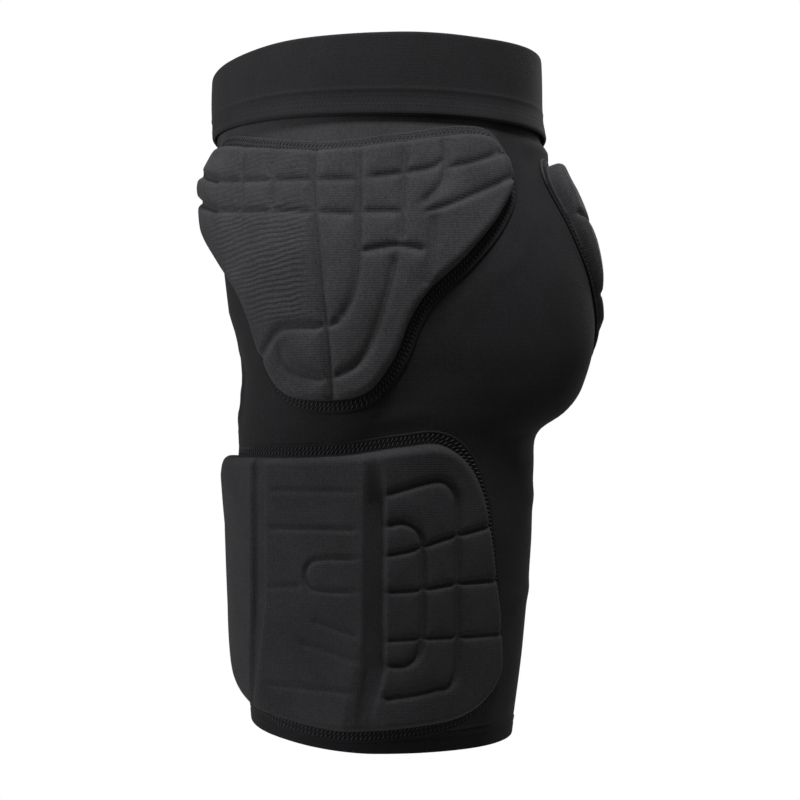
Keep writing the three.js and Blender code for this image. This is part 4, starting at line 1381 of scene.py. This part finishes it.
# The stage
FLOOR_DROP, FLOOR_RADIUS, FLOOR_SIDES = 0.16, 0.45, 96
FLOOR_GREY, FLOOR_ROUGHNESS = 0.55, 0.9
PICTURE_MIDDLE = Vector((0, 0.0155, -0.214))
CAMERA_DISTANCE, SENSOR_WIDTH, LENS = 1.3, 36, 88.6
# Square lamps aimed at the middle of the picture: place from there, size and power in watts
LAMPS = {
    "front": (Vector((0.45, -1.95, 0.1)), 0.8, 138),
    "top": (Vector((0.75, 0.2, 2.05)), 0.5, 300),
    "rim": (Vector((-1.6, 1.1, 0.6)), 0.8, 15),
}


# Operators, one for each piece or group of like pieces


class SHORTS_OT_stage(Operator):
    """Floor, lights and camera"""

    bl_idname = "shorts.stage"
    bl_label = "Stage"

    def execute(self, context):
        bpy.ops.object.select_all(action="DESELECT")
        bpy.ops.mesh.primitive_circle_add(
            vertices=FLOOR_SIDES, radius=FLOOR_RADIUS, fill_type="NGON",
            location=(0, 0, -LENGTH - FLOOR_DROP))
        floor = context.object
        floor.name = "floor"
        bpy.ops.object.transform_apply(location=True)
        paper = bpy.data.materials.new("matt white paper")
        paper.use_nodes = True
        shader = paper.node_tree.nodes["Principled BSDF"]
        shader.inputs["Base Color"].default_value = (*[FLOOR_GREY] * 3, 1)
        shader.inputs["Roughness"].default_value = FLOOR_ROUGHNESS
        floor.data.materials.append(paper)

        world = bpy.data.worlds.new("studio")
        world.use_nodes = True
        sky = world.node_tree.nodes["Background"]
        sky.inputs["Color"].default_value = (1, 1, 1, 1)
        sky.inputs["Strength"].default_value = 1.0
        context.scene.world = world
        context.scene.view_settings.view_transform = "Standard"

        for name, (offset, size, power) in LAMPS.items():
            bpy.ops.object.light_add(type="AREA", location=PICTURE_MIDDLE + offset)
            lamp = context.object
            lamp.name = name
            lamp.data.size = size
            lamp.data.energy = power
            lamp.rotation_euler = (-offset).to_track_quat("-Z", "Y").to_euler()

        # The photograph looks level at the left side
        bpy.ops.object.camera_add(location=PICTURE_MIDDLE + Vector((CAMERA_DISTANCE, 0, 0)),
                                  rotation=(math.pi / 2, 0, math.pi / 2))
        camera = context.object
        camera.data.sensor_width = SENSOR_WIDTH
        camera.data.lens = LENS
        context.scene.camera = camera
        return {"FINISHED"}


class SHORTS_OT_shell(Operator):
    """The knitted shell and the turned-up hems"""

    bl_idname = "shorts.shell"
    bl_label = "Shell and hems"

    def execute(self, context):
        shell, area = shorts_shell()
        finish_piece(shell, "shorts_torso", material("knit"))
        for side in ("left", "right"):
            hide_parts(f"shorts_leg_{side}")
        left, length = leg_hem()
        right = mirrored(left, "leg_hem_cloth_right")
        finish_piece(left, "leg_hem_left", material("hem"))
        finish_piece(right, "leg_hem_right", material("hem"))
        return {"FINISHED"}


class SHORTS_OT_waistband(Operator):
    """The wide elastic waistband"""

    bl_idname = "shorts.waistband"
    bl_label = "Waistband"

    def execute(self, context):
        band, length = waistband_piece()
        finish_piece(band, "waistband", material("elastic"))
        finish_piece(band_stitches(length), None, material("band thread"))
        return {"FINISHED"}


def pad_set(kind, pad, edge, relief, thickness, place, sides, cover,
            ripples=no_ripples):
    """A pad with its stitching for each side: the first is made, the second its mirror image.
    A side is the end of the names, such as _left, or empty for a pad in the middle."""
    first = pad_piece(f"{kind}_pad_cover{sides[0]}", pad, edge, relief, thickness, place,
                      ripples)
    row = edge_stitches(f"{kind}_pad_stitching{sides[0]}", pad, edge, place)
    made = [(first, row)]
    made += [(mirrored(first, f"{kind}_pad_cover{side}"),
              mirrored(row, f"{kind}_pad_stitching{side}")) for side in sides[1:]]
    for side, (cloth, stitches) in zip(sides, made):
        finish_piece(cloth, f"{kind}_pad{side}", material(cover))
        finish_piece(stitches, None, material("thread"))


class SHORTS_OT_hip_pads(Operator):
    """The hip pads with their cells, fingers and stitched edges"""

    bl_idname = "shorts.hip_pads"
    bl_label = "Hip pads"

    def execute(self, context):
        pad_set("hip", HIP_PAD, both_halves(HIP_HALF_EDGE), hip_relief,
                context.scene.shorts_sizes.hip_pad, side_place, ("_left", "_right"), "hip",
                ripples=hip_ripples)
        return {"FINISHED"}


class SHORTS_OT_thigh_pads(Operator):
    """The thigh pads with their flats, channels, cells and stitched edges"""

    bl_idname = "shorts.thigh_pads"
    bl_label = "Thigh pads"

    def execute(self, context):
        pad_set("thigh", THIGH_PAD, THIGH_EDGE, thigh_relief,
                context.scene.shorts_sizes.thigh_pad, side_place, ("_left", "_right"),
                "thigh")
        return {"FINISHED"}


class SHORTS_OT_tailbone_pad(Operator):
    """The tailbone pad with its cells and stitched edge"""

    bl_idname = "shorts.tailbone_pad"
    bl_label = "Tailbone pad"

    def execute(self, context):
        pad_set("tailbone", TAIL_PAD, both_halves(TAIL_HALF_EDGE), tail_relief,
                context.scene.shorts_sizes.tail_pad, seat_place, ("",), "hip")
        return {"FINISHED"}


OPERATORS = (
    SHORTS_OT_stage,
    SHORTS_OT_shell,
    SHORTS_OT_waistband,
    SHORTS_OT_hip_pads,
    SHORTS_OT_thigh_pads,
    SHORTS_OT_tailbone_pad,
)


class SHORTS_PT_panel(Panel):
    """Sizes, colours and the steps that make the shorts"""

    bl_idname = "SHORTS_PT_panel"
    bl_label = "Padded shorts"
    bl_space_type = "VIEW_3D"
    bl_region_type = "UI"
    bl_category = "Shorts"

    def draw(self, context):
        for group in (context.scene.shorts_sizes, context.scene.shorts_colours):
            box = self.layout.box()
            for name in group.bl_rna.properties.keys():
                if name not in ("rna_type", "name"):
                    box.prop(group, name)
        for operator in OPERATORS:
            self.layout.operator(operator.bl_idname)


CLASSES = (ShortsSizes, ShortsColours, *OPERATORS, SHORTS_PT_panel)


def register():
    for cls in CLASSES:
        bpy.utils.register_class(cls)
    bpy.types.Scene.shorts_sizes = PointerProperty(type=ShortsSizes)
    bpy.types.Scene.shorts_colours = PointerProperty(type=ShortsColours)


def unregister():
    del bpy.types.Scene.shorts_colours
    del bpy.types.Scene.shorts_sizes
    for cls in reversed(CLASSES):
        bpy.utils.unregister_class(cls)


def main():
    register()
    bpy.ops.shorts.stage()
    bpy.ops.shorts.shell()
    bpy.ops.shorts.waistband()
    bpy.ops.shorts.hip_pads()
    bpy.ops.shorts.thigh_pads()
    bpy.ops.shorts.tailbone_pad()


if __name__ == "__main__":
    main()
